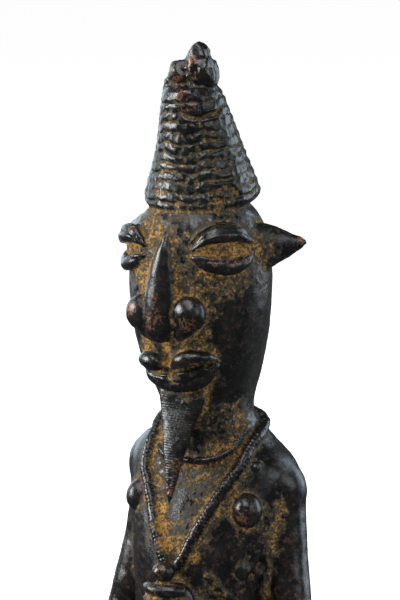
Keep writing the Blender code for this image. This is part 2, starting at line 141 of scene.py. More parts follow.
def new_form(name):
    """Names the object that was just added."""
    obj = bpy.context.object
    obj.name = name
    return obj


def select_only(*objects):
    bpy.ops.object.select_all(action="DESELECT")
    for obj in objects:
        obj.select_set(True)
    bpy.context.view_layer.objects.active = objects[0]


def apply_modifiers(obj):
    select_only(obj)
    for modifier in list(obj.modifiers):
        bpy.ops.object.modifier_apply(modifier=modifier.name)


def select_vertices(obj, members, past_y=-math.inf):
    """In edit mode, selects only those of some vertices that lie past a y."""
    bpy.ops.mesh.select_all(action="DESELECT")
    bm = bmesh.from_edit_mesh(obj.data)
    bm.verts.ensure_lookup_table()
    for index in members:
        bm.verts[index].select = bm.verts[index].co.y > past_y
    bm.select_flush(True)
    bmesh.update_edit_mesh(obj.data)


def selected_vertices(obj):
    return [v.index for v in bmesh.from_edit_mesh(obj.data).verts if v.select]


def column(name, rings, sides, squareness=2.0, dip=0.0, roll=0.0, levels=2):
    """A disc extruded from ring to ring, each drawn out to its own half width, front and back.

    dip and roll are the z gained for each millimetre to the back and to the figure's left.
    """
    first = rings[0]
    bpy.ops.object.select_all(action="DESELECT")
    bpy.ops.mesh.primitive_circle_add(vertices=sides, radius=UNIT, fill_type="NGON")
    obj = new_form(name)
    for vertex in obj.data.vertices:
        across, along = superellipse(math.atan2(vertex.co.y, vertex.co.x), squareness)
        vertex.co = (across * UNIT, along * UNIT, 0)
    bpy.ops.object.mode_set(mode="EDIT")
    bpy.ops.mesh.select_mode(type="VERT")
    bpy.ops.mesh.select_all(action="SELECT")
    bpy.ops.transform.translate(value=place(0, first.y, first.z))
    before = Ring(first.z, first.y, 1, 1, 1)
    for ring in rings:
        if ring is not first:
            step = place(0, ring.y, ring.z) - place(0, before.y, before.z)
            bpy.ops.mesh.extrude_region_move(TRANSFORM_OT_translate={"value": step})
        centre = place(0, ring.y, ring.z)
        members = selected_vertices(obj)
        wider, deeper = ring.half_width / before.half_width, ring.front / before.front
        bpy.ops.transform.resize(value=(wider, deeper, 1), center_override=centre)
        select_vertices(obj, members, centre.y + TINY)
        behind = ring.back / before.back / deeper
        bpy.ops.transform.resize(value=(1, behind, 1), center_override=centre)
        select_vertices(obj, members)
        before = ring
    bpy.ops.mesh.select_all(action="SELECT")
    bpy.ops.mesh.normals_make_consistent(inside=False)
    bpy.ops.object.mode_set(mode="OBJECT")
    slope = Matrix.Identity(4)
    slope[2][0], slope[2][1] = roll, dip
    obj.data.transform(slope)
    if levels:
        rounded = obj.modifiers.new("rounded", "SUBSURF")
        rounded.levels = rounded.render_levels = levels
        apply_modifiers(obj)
    return obj


def bar(name, points, sides=16, flatten=None):
    """A round bar on a smooth curve through points (x, y, z, radius). flatten squeezes its section."""
    curve = bpy.data.curves.new(name, "CURVE")
    curve.dimensions = "3D"
    curve.resolution_u = 8
    curve.bevel_depth = UNIT
    curve.bevel_resolution = (sides - 4) // 2
    curve.use_fill_caps = True
    spline = curve.splines.new("BEZIER")
    spline.radius_interpolation = "CARDINAL"
    spline.bezier_points.add(len(points) - 1)
    for knot, (x, y, z, radius) in zip(spline.bezier_points, points):
        knot.co = place(x, y, z)
        knot.radius = radius
        knot.handle_left_type = knot.handle_right_type = "AUTO"
    obj = bpy.data.objects.new(name, curve)
    bpy.context.collection.objects.link(obj)
    select_only(obj)
    bpy.ops.object.convert(target="MESH")
    bpy.ops.object.mode_set(mode="EDIT")
    bpy.ops.mesh.select_all(action="SELECT")
    bpy.ops.mesh.remove_doubles(threshold=TINY)
    bpy.ops.mesh.normals_make_consistent(inside=False)
    bpy.ops.object.mode_set(mode="OBJECT")
    if flatten is not None:
        obj.data.transform(flatten)
    return obj


def flattened_about(centre, share, axis):
    """Squeezes a form to a share of its size along one axis, about a drawn place."""
    there = Matrix.Translation(place(*centre))
    return there @ Matrix.Scale(share, 4, axis) @ there.inverted()


def mound(name, boss, turn=(0, 0, 0)):
    """A ball with its own half sizes, turned by degrees, at a drawn place."""
    bpy.ops.mesh.primitive_uv_sphere_add(
        segments=40,
        ring_count=20,
        radius=UNIT,
        location=place(*boss.centre),
        rotation=[math.radians(degrees) for degrees in turn],
        scale=boss.radii,
    )
    return new_form(name)


def mirrored(boss, side, shift=(0, 0, 0)):
    """A boss on one side of the figure: -1 is its right, 1 its left."""
    x, y, z = boss.centre
    return Boss((side * x + shift[0], y + shift[1], z + shift[2]), boss.radii)


KNOT = Boss((2.8, -5.4, 254.4), (3.9, 3.9, 7.6))
KNOT_LOBE = Boss((-2.2, -6.4, 253.2), (3.6, 3.2, 3.9))
KNOT_DISC = Boss((5.6, -5.0, 254.4), (2.0, 4.2, 4.7))
KNOT_DISC_TURN = (0, -14, 0)
KNOT_STRAP = ((-6.8, -5.4, 243.6, 1.0), (-7.1, -5.8, 248.8, 1.2), (-4.8, -6.2, 252.6, 1.2))
# The nose, the arms and the breasts lie a little off centre, as in the photograph.
NOSE_ROOT_X = -0.2
NOSE_LEAN_DEGREES = 4.2
NOSTRIL = Boss((7.4, -17.8, 188.8), (4.8, 4.1, 5.0))
NOSTRIL_SHIFT = -0.55
BREAST = Boss((17.2, -5.0, 132.6), (4.1, 4.4, 4.9))
BREAST_SHIFT = 0.8
STAFF_KNOB = Boss((0.2, -20.4, 116.4), (3.3, 3.3, 2.9))
STAFF_END = Boss((0, -20.4, 84.6), (2.6, 2.6, 2.0))
STAFF_RADIUS = 1.9
SHOULDER_Z = 139.9
SHOULDER_HALF_WIDTH = 25.0
HAND_Z = {-1: 92.4, 1: 106.6}
WRIST_DROP = 1.0
ARM_SHIFT = 0.8
PALM = Boss((3.4, -18.6, 0), (5.6, 4.2, 6.8))
FINGERS = 4
FINGER_PITCH = 3.5
RIGHT_LID_SHARES = {"upper_lid": 1.1, "lower_lid": 0.85, "eye_band": 1.0}
RIGHT_LID_DROP = 1.0
RIGHT_LID_LEVEL_DEGREES = 40
RIGHT_LID_TURN_DEGREES = 16


def lid_drop(side, degrees):
    """How much lower the figure's right upper lid hangs than its left; its inner end lies higher."""
    turn = (degrees - RIGHT_LID_LEVEL_DEGREES) / RIGHT_LID_TURN_DEGREES
    return RIGHT_LID_DROP * min(1.0, max(-1.0, turn)) if side < 0 else 0.0


def cap():
    """The cap's cone, the lump of left-over metal on its point, and a disc and a strap at its sides."""
    level = [Ring(r.z - CAP_FORWARD_DIP * r.y, *r[1:]) for r in CAP]
    forms = [column("cap", level, 48, dip=CAP_FORWARD_DIP, roll=CONE.roll)]
    forms.append(mound("knot", KNOT))
    forms.append(mound("knot_lobe", KNOT_LOBE))
    forms.append(mound("knot_disc", KNOT_DISC, KNOT_DISC_TURN))
    forms.append(bar("knot_strap", KNOT_STRAP))
    return forms


def eye(side):
    """A bean-like eye: an upper and a lower lid with a shallow band between them."""
    bands = (
        ("upper_lid", 1.1, 0.68,
         ((22, 206.5, 0.6), (30, 208.4, 1.5), (39, 209.5, 2.2),
          (51, 209.9, 2.2), (63, 209.3, 1.9), (74, 207.6, 0.7))),
        ("lower_lid", 1.25, 0.55,
         ((22, 204.0, 0.5), (31, 202.6, 1.3), (41, 201.7, 1.7),
          (53, 201.4, 1.8), (65, 202.2, 1.5), (77, 204.2, 0.5))),
        ("eye_band", 1.0, -0.55,
         ((26, 205.4, 1.3), (37, 206.0, 2.5), (49, 206.2, 2.9), (61, 205.9, 2.6), (72, 205.3, 1.3))),
    )
    forms = []
    for name, stretch, proud, stations in bands:
        share = RIGHT_LID_SHARES[name] if side < 0 else 1.0
        points = []
        for degrees, z, width in stations:
            lower = lid_drop(side, degrees) if name == "upper_lid" else 0.0
            spot = on_surface(SKULL, side * degrees, z - lower, proud * width + 0.3 * max(lower, 0.0))
            points.append((*spot, width * share))
        stretched = flattened_about(points[2][:3], stretch, Vector((0, 0, 1)))
        forms.append(bar(f"{name}_{side}", points, flatten=stretched))
    return forms


def nose():
    """A long ridge, narrow between the eyes and broad at the tip, between two round nostril bosses."""
    rings = rings_of(
        (180.4, -17.6, 2.2, 2.4, 2.0), (182.0, -17.6, 3.5, 4.4, 2.0), (185.5, -17.6, 4.9, 5.0, 2.0),
        (191.0, -17.6, 5.2, 4.9, 2.0), (198.0, -17.6, 4.6, 4.2, 2.0), (205.0, -17.6, 2.8, 3.1, 2.0),
        (209.4, -17.5, 1.4, 1.6, 1.6), (211.4, -17.3, 0.6, 0.7, 1.0),
    )
    ridge = column("nose", rings, 24, 2.1)
    root = place(0, rings[-1].y, rings[-1].z)
    lean = Matrix.Rotation(math.radians(NOSE_LEAN_DEGREES), 4, "Y")
    aside = Matrix.Translation(Vector((NOSE_ROOT_X * UNIT, 0, 0)))
    ridge.data.transform(aside @ Matrix.Translation(root) @ lean @ Matrix.Translation(-root))
    forms = [ridge]
    for side in (-1, 1):
        shift = (NOSTRIL_SHIFT, 0, FACE_ROLL * side * NOSTRIL.centre[0])
        boss = mirrored(NOSTRIL, side, shift)
        forms.append(mound(f"nostril_{side}", boss))
        x, y, z = boss.centre
        tail = (
            (x - side * 0.4, y + 0.4, z - 1.8, 3.7),
            (x - side * 2.2, y + 0.3, z - 4.8, 2.7),
            (x - side * 4.0, y + 0.4, z - 7.2, 1.5),
        )
        forms.append(bar(f"nostril_tail_{side}", tail))
    return forms


def mouth():
    """Thick lips that wrap round the face and rise at their corners, with a shallow gap between them."""
    lips = (
        ("upper_lip", 0.35,
         ((-42, 174.4, 0.6), (-31, 175.1, 1.9), (-17, 174.9, 2.5), (-4, 173.8, 1.1), (4, 174.3, 1.3),
          (12, 175.4, 2.2), (22, 176.1, 2.5), (36, 176.2, 1.6), (46, 175.2, 0.6))),
        ("lower_lip", 0.35,
         ((-41, 173.0, 0.5), (-32, 170.6, 1.5), (-17, 168.6, 1.9), (-3, 168.0, 2.1),
          (12, 168.0, 2.1), (26, 169.0, 1.9), (38, 171.2, 1.5), (46, 173.8, 0.6))),
        ("mouth_gap", -0.45,
         ((-36, 172.6, 1.2), (-18, 171.2, 2.4), (0, 170.8, 2.6), (18, 171.9, 2.4), (34, 173.6, 1.4))),
    )
    forms = []
    for name, proud, stations in lips:
        points = [(*on_surface(SKULL, a, z, proud * r), r) for a, z, r in stations]
        forms.append(bar(name, points))
    return forms


def beard():
    """A flat-faced wedge that leaves the chin and stands clear of the chest at its tip."""
    rings = rings_of(
        (134.6, -17.4, 0.5, 0.4, 0.5), (140.0, -16.5, 1.5, 0.5, 1.8), (145.2, -15.6, 2.4, 0.6, 2.8),
        (154.8, -13.2, 4.4, 0.8, 4.8), (161.5, -11.0, 6.2, 1.0, 7.0), (165.2, -10.8, 7.0, 1.2, 8.0),
        (167.6, -10.2, 6.2, 0.8, 7.4),
    )
    return [column("beard", rings, 24, 2.4)]


def ear(side):
    """A pointed ear like a small horn, swept a little to the back."""
    points = (
        (side * 15.0, 0.0, 205.4, 7.5),
        (side * 19.5, 3.2, 206.0, 6.3),
        (side * 24.3, 6.8, 206.3, 3.6),
        (side * 27.2, 9.0, 206.7, 1.7),
        (side * 28.3, 9.8, 206.8, 0.7),
    )
    outward = Vector((side * 13.0, 9.6, 0)).normalized()
    across = outward.cross(Vector((0, 0, 1)))
    return bar(f"ear_{side}", points, 24, flattened_about(points[0][:3], 0.55, across))


CORDS = (
    Cord("long_cord", TRUNK, 1.5, (
        (180, 156.0), (150, 155.6), (105, 154.4), (72, 152.4), (50, 149.4), (37, 145.8), (29, 141.4),
        (24, 136.8), (19, 131.4), (14, 125.8), (7, 119.0), (3, 116.4),
    ), 62),
    Cord("short_cord", SKULL, 1.0, ((0, 145.4), (30, 145.8), (52, 147.6), (72, 150.6), (92, 154.0)), 26),
)
CORD_PROUD = 0.4
RIGHT_CORD_SPREAD = 1.14
COLLAR_Z = 142.0


def cord_route(cord, side):
    """The places along one side of a cord. Below the collar its right side hangs a little wider."""
    places = []
    for degrees, z in cord.half:
        spread = RIGHT_CORD_SPREAD if side < 0 and z < COLLAR_Z else 1.0
        places.append(on_surface(cord.form, side * degrees * spread, z, CORD_PROUD * cord.radius))
    return places


def necklace():
    """A cord that loops behind the neck and runs down to the hands, and a shorter one close to the neck."""
    forms = []
    for cord in CORDS:
        route = [*reversed(cord_route(cord, -1)), *cord_route(cord, 1)[1:]]
        forms.append(bar(cord.name, [(*p, cord.radius) for p in route], 12))
    return forms


def arm(side):
    """An arm held to the flank down to the elbow, and its forearm up to the fist."""
    shoulder_z = SHOULDER_Z + SHOULDER_ROLL * side * SHOULDER_HALF_WIDTH
    wrist_z = HAND_Z[side] - WRIST_DROP
    limb = (
        (side * 17.6 + ARM_SHIFT, 9.2, shoulder_z + 0.8, 4.8),
        (side * 21.1, 9.4, shoulder_z - 0.5, 6.5),
        (side * 21.4 + 0.3, 9.4, shoulder_z - 7.0, 6.4),
        (side * 22.6 + 0.6, 8.2, 121.0, 6.2),
        (side * 25.6 + ARM_SHIFT, 5.4, 106.0, 5.8),
        (side * 28.2 + ARM_SHIFT, 3.4, 94.0, 5.6),
        (side * 27.8 + ARM_SHIFT, -1.4, 87.6, 5.3),
        (side * 22.0, -7.8, 0.5 * (wrist_z + 84.0), 4.8),
        (side * 14.0, -14.2, wrist_z - 4.5, 4.2),
        (side * 6.6, -18.4, wrist_z, 3.8),
    )
    return bar(f"arm_{side}", limb, 20)


def fist(side):
    """A closed hand: its back and four fingers wrapped round the staff."""
    z = HAND_Z[side]
    forms = [mound(f"palm_{side}", mirrored(PALM, side, (0, 0, z)))]
    for number in range(FINGERS):
        height = z + FINGER_PITCH * (number - (FINGERS - 1) / 2)
        knuckles = (
            (side * 7.0, -20.4, height, 1.4),
            (side * 4.0, -22.8, height, 1.8),
            (side * -1.4, -23.4, height, 1.8),
            (side * -5.0, -21.2, height, 1.4),
        )
        forms.append(bar(f"finger_{side}_{number}", knuckles, 12))
    return forms


def staff():
    """The short staff in the fists, with a round knob above them."""
    ends = [(*boss.centre, STAFF_RADIUS) for boss in (STAFF_END, STAFF_KNOB)]
    return [bar("staff", ends), mound("staff_knob", STAFF_KNOB), mound("staff_end", STAFF_END)]


def breasts():
    """The two breast bosses."""
    return [mound(f"breast_{side}", mirrored(BREAST, side, (BREAST_SHIFT, 0, 0))) for side in (-1, 1)]


def leg(side):
    """A thigh along the seat, a shin down to the ankle, and a foot."""
    limb = (
        (side * 10.0, 8.0, 66.0, 10.6),
        (side * 13.5, -6.0, 66.4, 10.4),
        (side * 16.6, -19.0, 65.6, 9.2),
        (side * 18.0, -26.0, 60.6, 8.4),
        (side * 18.2, -27.6, 51.0, 7.6),
        (side * 17.8, -27.2, 36.0, 7.2),
        (side * 17.6, -26.4, 20.0, 5.8),
        (side * 17.6, -26.0, 3.0, 5.8),
    )
    sole = (
        (side * 17.2, -20.0, 3.4, 4.6),
        (side * 17.8, -30.0, 3.6, 5.4),
        (side * 18.6, -38.0, 2.6, 5.8),
        (side * 18.8, -42.0, 1.6, 4.2),
    )
    low = flattened_about((0, 0, -1.0), 0.62, Vector((0, 0, 1)))
    return [bar(f"leg_{side}", limb, 24), bar(f"foot_{side}", sole, 20, low)]


WRAPPER_STEPS = 18


def waistcloth():
    """A rolled wrapper round the hips, past its own start, with its end hanging between the knees."""
    band = []
    for step in range(WRAPPER_STEPS + 2):
        angle = 2 * math.pi * step / WRAPPER_STEPS
        band.append((22.5 * math.sin(angle), 7.5 - 20.5 * math.cos(angle), 79.0, 2.4))
    rings = rings_of(
        (44.0, -17.0, 6.2, 2.2, 8.0), (56.0, -17.0, 7.0, 2.6, 9.0), (68.0, -15.0, 9.0, 3.0, 10.0),
        (78.0, -12.0, 10.0, 2.6, 10.0),
    )
    return [bar("wrapper_roll", band), column("apron", rings, 24, 2.6)]


STOOL_AXIS_Y = 10.0
STOOL_PROFILE = (
    (25.0, -1.0), (25.0, 2.5), (23.5, 4.0), (19.1, 4.0), (16.5, 15.8), (16.5, 39.3),
    (19.1, 51.0), (25.5, 51.0), (27.0, 52.5), (27.0, 55.5), (25.5, 57.0),
)


def stool():
    """A round stool, a disc extruded and drawn in or out along its turned profile."""
    rings = [Ring(z, STOOL_AXIS_Y, radius, radius, radius) for radius, z in STOOL_PROFILE]
    return [column("stool", rings, 96, levels=0)]


BASE_CORNER_RADIUS = 16.0
BASE_EDGE_RADIUS = 1.5


def base():
    """The flat base plate with rounded corners, under the soles and the stool's foot."""
    size = (HIGH.x - LOW.x, HIGH.y - LOW.y, DRAWN_BASE_HEIGHT * UNIT)
    bpy.ops.object.select_all(action="DESELECT")
    bpy.ops.mesh.primitive_cube_add(size=1, location=(0, 0, size[2] / 2), scale=size)
    obj = new_form("base")
    bpy.ops.object.transform_apply(location=True, rotation=True, scale=True)
    bpy.ops.object.mode_set(mode="EDIT")
    bpy.ops.mesh.select_mode(type="EDGE")
    for radius, segments, chosen in (
        (BASE_CORNER_RADIUS, 10, lambda low, high: high - low > size[2] / 2),
        (BASE_EDGE_RADIUS, 4, lambda low, high: low > size[2] / 2),
    ):
        bpy.ops.mesh.select_all(action="DESELECT")
        bm = bmesh.from_edit_mesh(obj.data)
        for edge in bm.edges:
            heights = [v.co.z for v in edge.verts]
            edge.select = chosen(min(heights), max(heights))
        bm.select_flush_mode()
        bmesh.update_edit_mesh(obj.data)
        bpy.ops.mesh.bevel(offset=radius * UNIT, segments=segments, affect="EDGES")
    bpy.ops.object.mode_set(mode="OBJECT")
    return [obj]


def smooth_share(values):
    """0 to 1 with soft ends, for values from 0 to 1 and past them."""
    t = np.clip(values, 0, 1)
    return t * t * (3 - 2 * t)


def window(values, low, high, soft):
    """1 between low and high, falling to 0 over a soft edge on each side."""
    return smooth_share((values - low) / soft + 1) * smooth_share((high - values) / soft + 1)


def grain(points, size, seed=0.0, octaves=1):
    """Smooth noise from about -1 to 1 at each point, with lumps of a size in millimetres."""
    total = np.zeros(len(points))
    for octave in range(octaves):
        scaled = (points / size * 2**octave + seed).tolist()
        total += np.array([noise.noise(p) for p in scaled]) / 2**octave
    return total


def curved_route(knots, steps=6):
    """A denser route on a smooth curve through its knots."""
    knots = np.array(knots, float)
    fine = np.linspace(0, len(knots) - 1, (len(knots) - 1) * steps + 1)
    before, after = 2 * knots[0] - knots[1], 2 * knots[-1] - knots[-2]
    padded = np.vstack([before, knots, after])
    start = np.minimum(fine.astype(int), len(knots) - 2)
    t = (fine - start)[:, None]
    a, b, c, d = (padded[start + k] for k in range(4))
    return 0.5 * (2 * b + (c - a) * t + (2 * a - 5 * b + 4 * c - d) * t**2 + (3 * b - a - 3 * c + d) * t**3)


def to_route(points, route, reach):
    """How far each point is from a route, if within reach, and how far along the route, from 0 to 1."""
    distance = np.full(len(points), np.inf)
    along = np.zeros(len(points))
    route = np.asarray(route, float)
    near = np.all((points > route.min(0) - reach) & (points < route.max(0) + reach), axis=1)
    rows = np.flatnonzero(near)
    runs = np.linalg.norm(np.diff(route, axis=0), axis=1)
    starts = np.concatenate([[0], np.cumsum(runs)])
    here = points[rows]
    best, share = np.full(len(rows), np.inf), np.zeros(len(rows))
    for a, b, run, start in zip(route, route[1:], runs, starts):
        t = np.clip((here - a) @ (b - a) / run**2, 0, 1)
        gap = np.linalg.norm(here - a - t[:, None] * (b - a), axis=1)
        closer = gap < best
        best[closer] = gap[closer]
        share[closer] = (start + t[closer] * run) / starts[-1]
    distance[rows] = best
    along[rows] = share
    return distance, along


def read_vectors(items, name):
    """A three-number property of each item, as rows."""
    flat = np.empty(len(items) * 3, np.float32)
    items.foreach_get(name, flat)
    return flat.reshape(-1, 3).astype(float)


class Skin:
    """The casting's surface in drawn millimetres, and the way out of it at each point."""

    def __init__(self, obj):
        self.obj = obj
        self.points = read_vectors(obj.data.vertices, "co") / UNIT - np.array(DRAWN_ORIGIN)
        pairs = np.empty(len(obj.data.edges) * 2, np.int32)
        obj.data.edges.foreach_get("vertices", pairs)
        self.edges = pairs.reshape(-1, 2)
        self.neighbours = np.bincount(pairs, minlength=len(self.points)).astype(float)
        self.refresh()

    def refresh(self):
        """Writes the points to the mesh and reads its normals again."""
        model = (self.points + np.array(DRAWN_ORIGIN)) * UNIT
        model = np.clip(model, np.array(LOW), np.array(HIGH))
        self.obj.data.vertices.foreach_set("co", model.astype(np.float32).ravel())
        self.obj.data.update()
        self.normals = read_vectors(self.obj.data.vertex_normals, "vector")

    def push(self, amounts):
        """Moves the surface out by millimetres, or in where negative."""
        self.points = self.points + self.normals * amounts[:, None]

    def averaged(self, values, rounds):
        """Values spread over the surface, each round to the next points."""
        a, b = self.edges.T
        spread = values.astype(float)
        for _ in range(rounds):
            columns = [
                np.bincount(a, column[b], len(column)) + np.bincount(b, column[a], len(column))
                for column in spread.reshape(len(spread), -1).T
            ]
            mean = np.stack(columns, 1) / self.neighbours[:, None]
            spread = 0.5 * spread + 0.5 * mean.reshape(spread.shape)
        return spread

    def soften(self, rounds, share=1.0):
        """Evens the surface out, as far as a share at each point."""
        even = self.averaged(self.points, rounds)
        self.points = self.points + (even - self.points) * np.broadcast_to(share, len(even))[:, None]

    def hollowness(self, rounds):
        """How far the surface lies under its own average: over 0 in hollows, under 0 on ridges."""
        smooth = self.averaged(self.points, rounds)
        return ((smooth - self.points) * self.normals).sum(1)

    def wrapped(self, form, radius):
        """Places unrolled from a form: millimetres round it at one radius, and height before its roll."""
        x, y, z = self.points.T
        axis_y = np.interp(z, [r.z for r in form.rings], [r.y for r in form.rings])
        return np.stack([np.arctan2(x, axis_y - y) * radius, z - form.roll * x], 1)

    def store(self, name, values):
        attribute = self.obj.data.attributes.new(name, "FLOAT", "POINT")
        attribute.data.foreach_set("value", values.astype(np.float32))


SKULL_RADIUS = 19.0


def round_skull(stations):
    """A route of (degrees, height) on the unrolled skull, in millimetres."""
    return [(math.radians(degrees) * SKULL_RADIUS, z) for degrees, z in stations]


def line(places, stations, width, height, ends=0.15):
    """How far a ridge (or a groove, with a negative height) along a route moves each place."""
    distance, along = to_route(places, curved_route(stations), width)
    profile = np.clip(1 - (distance / width) ** 2, 0, 1) ** 2
    return height * profile * (smooth_share(along / ends) * smooth_share((1 - along) / ends))


CAP_RIB_PITCH = 2.6
CAP_RIB_DEPTH = 0.48
CAP_RIB_LOW = 217.6
CAP_RIB_HIGH = 247.5
CAP_TOP = 252
KNOT_LOW = 248.0
CAP_UNROLLED_RADIUS = 12.0
CAP_SEAM = ((30, 237), (27, 231), (24, 225.5), (26, 221))
CHIP_DEGREES, CHIP_Z = 52, 222.0
CHIP_HALF_WIDTH, CHIP_HALF_HEIGHT = 4.4, 3.0
CHIP_DEPTH = 0.85


def cap_places(skin):
    """Places unrolled from the cap: degrees from straight ahead, and height along the dipped cone."""
    x, y, z = skin.points.T
    axis_y = np.interp(z, [r.z for r in CAP], [r.y for r in CAP])
    return np.degrees(np.arctan2(x, axis_y - y)), z - CAP_FORWARD_DIP * (y - axis_y) - CONE.roll * x


def carve_cap(skin):
    """Wavy, broken coils round the cap, a vertical seam, a chipped patch and old scars."""
    degrees, level = cap_places(skin)
    angle = np.radians(degrees)
    radius = np.interp(level, [r.z for r in CAP], [r.half_width for r in CAP])
    rows = np.flatnonzero((level > CAP_RIB_LOW - 3) & (level < CAP_TOP))
    around = np.stack([np.sin(angle) * radius, np.cos(angle) * radius, level], 1)[rows]
    wander = 0.34 * grain(around * (1, 1, 0.6), 6.0, 3.1) + 0.14 * grain(around, 2.4, 8.4)
    phase = (level[rows] - CAP_RIB_LOW) / CAP_RIB_PITCH - angle[rows] / (2 * math.pi) + wander
    lobe = np.clip(1 - (2 * (phase % 1.0) - 1) ** 2, 0, 1) ** 0.7
    worn = np.clip(0.78 + 0.85 * grain(around, 3.6, 5.7), 0.1, 1.15)
    kept = window(level[rows], CAP_RIB_LOW + 1.6, CAP_RIB_HIGH, 1.4)
    amounts = np.zeros(len(level))
    amounts[rows] = kept * (worn * CAP_RIB_DEPTH * (lobe - 0.6) + 0.22 * grain(around, 1.3, 2.9))
    places = np.stack([angle * CAP_UNROLLED_RADIUS, level], 1)
    for route, width, height in (
        (CAP_SEAM, 1.2, -0.4),
        (((8, 243.4), (40, 242.6), (76, 243.6)), 1.0, -0.7),
        (((8, 244.6), (40, 243.9), (76, 244.8)), 0.9, 0.35),
        (((-6, 249.2), (14, 249.4), (34, 249.2)), 0.9, 0.3),
        (((34, 219.2), (44, 219.4), (54, 219.6)), 2.4, -0.9),
    ):
        rolled = [(math.radians(d) * CAP_UNROLLED_RADIUS, z) for d, z in route]
        amounts += line(places, rolled, width, height)
    chip_x = math.radians(CHIP_DEGREES) * CAP_UNROLLED_RADIUS
    chip = np.hypot((places[:, 0] - chip_x) / CHIP_HALF_WIDTH, (level - CHIP_Z) / CHIP_HALF_HEIGHT)
    near = np.flatnonzero(chip < 1.3)
    edge = chip[near] + 0.22 * grain(skin.points[near], 2.4, 1.7)
    rough = 0.5 * grain(skin.points[near], 1.4, 6.6, 2)
    amounts[near] += smooth_share((1 - edge) / 0.25) * (rough - CHIP_DEPTH)
    skin.push(amounts)


def carve_knot(skin):
    """The folds and lumps of the metal left on the cap's point."""
    amounts = np.zeros(len(skin.points))
    rows = np.flatnonzero(skin.points[:, 2] > KNOT_LOW)
    here = skin.points[rows]
    folds = 1 - 2 * np.abs(grain(here, 3.4, 7.7))
    lumps = 0.5 * folds - 0.3 + 0.25 * grain(here, 1.2, 2.2)
    amounts[rows] = lumps * smooth_share((here[:, 2] - KNOT_LOW) / 3)
    skin.push(amounts)


EYE_RIM = ((21, 207.4), (27.5, 210.2), (36, 212.0), (48, 212.8), (61, 212.3), (70, 210.5), (75, 208.2))
EYE_FOLD = ((21, 206.4), (29, 208.9), (37, 210.6), (48, 211.3), (61, 210.9), (70, 209.2), (75, 207.4))
LID_EDGE = ((23, 205.4), (30, 206.7), (38, 207.4), (48, 207.6), (59, 207.2), (68, 206.6), (74, 206.0))
LOWER_RIM = ((22.5, 204.5), (32.5, 204.2), (43, 203.9), (54.5, 204.0), (65.5, 204.4), (78.5, 205.2))
MOUTH_LINE = (
    (-42, 173.6), (-32, 172.6), (-18, 171.9), (-4.5, 171.8), (12.5, 172.9), (31.5, 174.3), (46, 174.9),
)
LIP_EDGE = ((-38, 173.0), (-18, 172.6), (-4.5, 172.2), (12.5, 173.7), (31.5, 175.0), (44, 175.3))
LOWER_LIP_EDGE = ((-36, 171.4), (-18, 169.9), (0, 169.4), (16, 169.9), (32, 171.9), (43, 174.0))
PHILTRUM = ((-5, 181.0), (-4.5, 178), (-4.5, 174), (-4.5, 172.2))


def carve_face(skin):
    """Rims and folds of the eyes, the groove under the nose, the edges of the lips."""
    places = skin.wrapped(SKULL, SKULL_RADIUS)
    front = (skin.points[:, 2] > 150) & (skin.points[:, 2] < 219) & (skin.points[:, 1] < 12)
    amounts = np.zeros(len(places))
    for side in (-1, 1):
        for route, width, height in (
            (EYE_RIM, 0.8, 0.55),
            (EYE_FOLD, 0.8, -0.4),
            (LID_EDGE, 0.9, -0.45),
            (LOWER_RIM, 0.75, 0.6),
        ):
            dropped = [(side * d, z if route is LOWER_RIM else z - lid_drop(side, d)) for d, z in route]
            amounts += line(places, round_skull(dropped), width, height)
    for route, width, height in (
        (MOUTH_LINE, 1.0, -0.6),
        (LIP_EDGE, 0.7, 0.3),
        (LOWER_LIP_EDGE, 0.8, 0.3),
        (PHILTRUM, 3.0, -0.9),
    ):
        amounts += line(places, round_skull(route), width, height, 0.08)
    skin.push(amounts * front)


BEARD_NOTCH_PITCH = 0.68
BEARD_NOTCH_DEPTH = 0.14
BEARD_TIP_HIGH = 145
BEARD_HEIGHTS = (134.6, 140, 145.2, 154.8, 161.5)
BEARD_FRONT_Y = (-17.8, -17.0, -16.2, -14.0, -12.0)
BEARD_FRONT_REACH = (0.3, 1.2, 2.0, 3.9, 5.6)


def beard_front(points):
    """1 on the flat front of the beard, from under the lip to a little above its tip."""
    x, y, z = points.T
    front_y = np.interp(z, BEARD_HEIGHTS, BEARD_FRONT_Y)
    reach = np.interp(z, BEARD_HEIGHTS, BEARD_FRONT_REACH)
    across = window(x, -reach, reach, 0.4)
    return window(y, front_y - 3, front_y + 0.5, 0.4) * across * window(z, 140, 163.5, 2.0)


def carve_beard(skin):
    """Fine level notches across the beard's front, and rough metal at its tip."""
    x, y, z = skin.points.T
    share = beard_front(skin.points)
    rows = np.flatnonzero(share > 0)
    here = skin.points[rows]
    waves = z[rows] / BEARD_NOTCH_PITCH + 0.35 * grain(here, 2.2, 4.0) + 0.03 * x[rows]
    notch = np.abs(2 * (waves % 1.0) - 1) - 0.5
    amounts = np.zeros(len(z))
    amounts[rows] = share[rows] * notch * BEARD_NOTCH_DEPTH * (1.0 + 0.8 * grain(here, 3.0, 1.0))
    tip = np.flatnonzero((z > 133) & (z < BEARD_TIP_HIGH) & (y < -12) & (np.abs(x) < 6))
    rough = 0.3 * grain(skin.points[tip], 1.1, 3.3, 2)
    amounts[tip] += rough * smooth_share((BEARD_TIP_HIGH - z[tip]) / 6)
    skin.push(amounts)


def on_trunk(degrees, z, proud=0.5):
    return on_surface(TRUNK, degrees, z, proud)


FOREARM_EDGE = (on_trunk(27, 115.6), on_trunk(34, 113), on_trunk(41, 110.5), on_trunk(57, 105))
FOREARM_EDGE_REACH = 1.6
CORD_REACH = 2.2
CLOTH_FOLD_HEIGHT = 0.3
STOOL_RING_PITCH = 6.0
STOOL_RING_HEIGHT = 0.45
TOES_BACK_Y = -38.5
TOES_X = 18.8
TOES_HALF_WIDTH = 4.6
TOE_WIDTH = 2.1
TOE_CREASE_DEPTH = 0.6


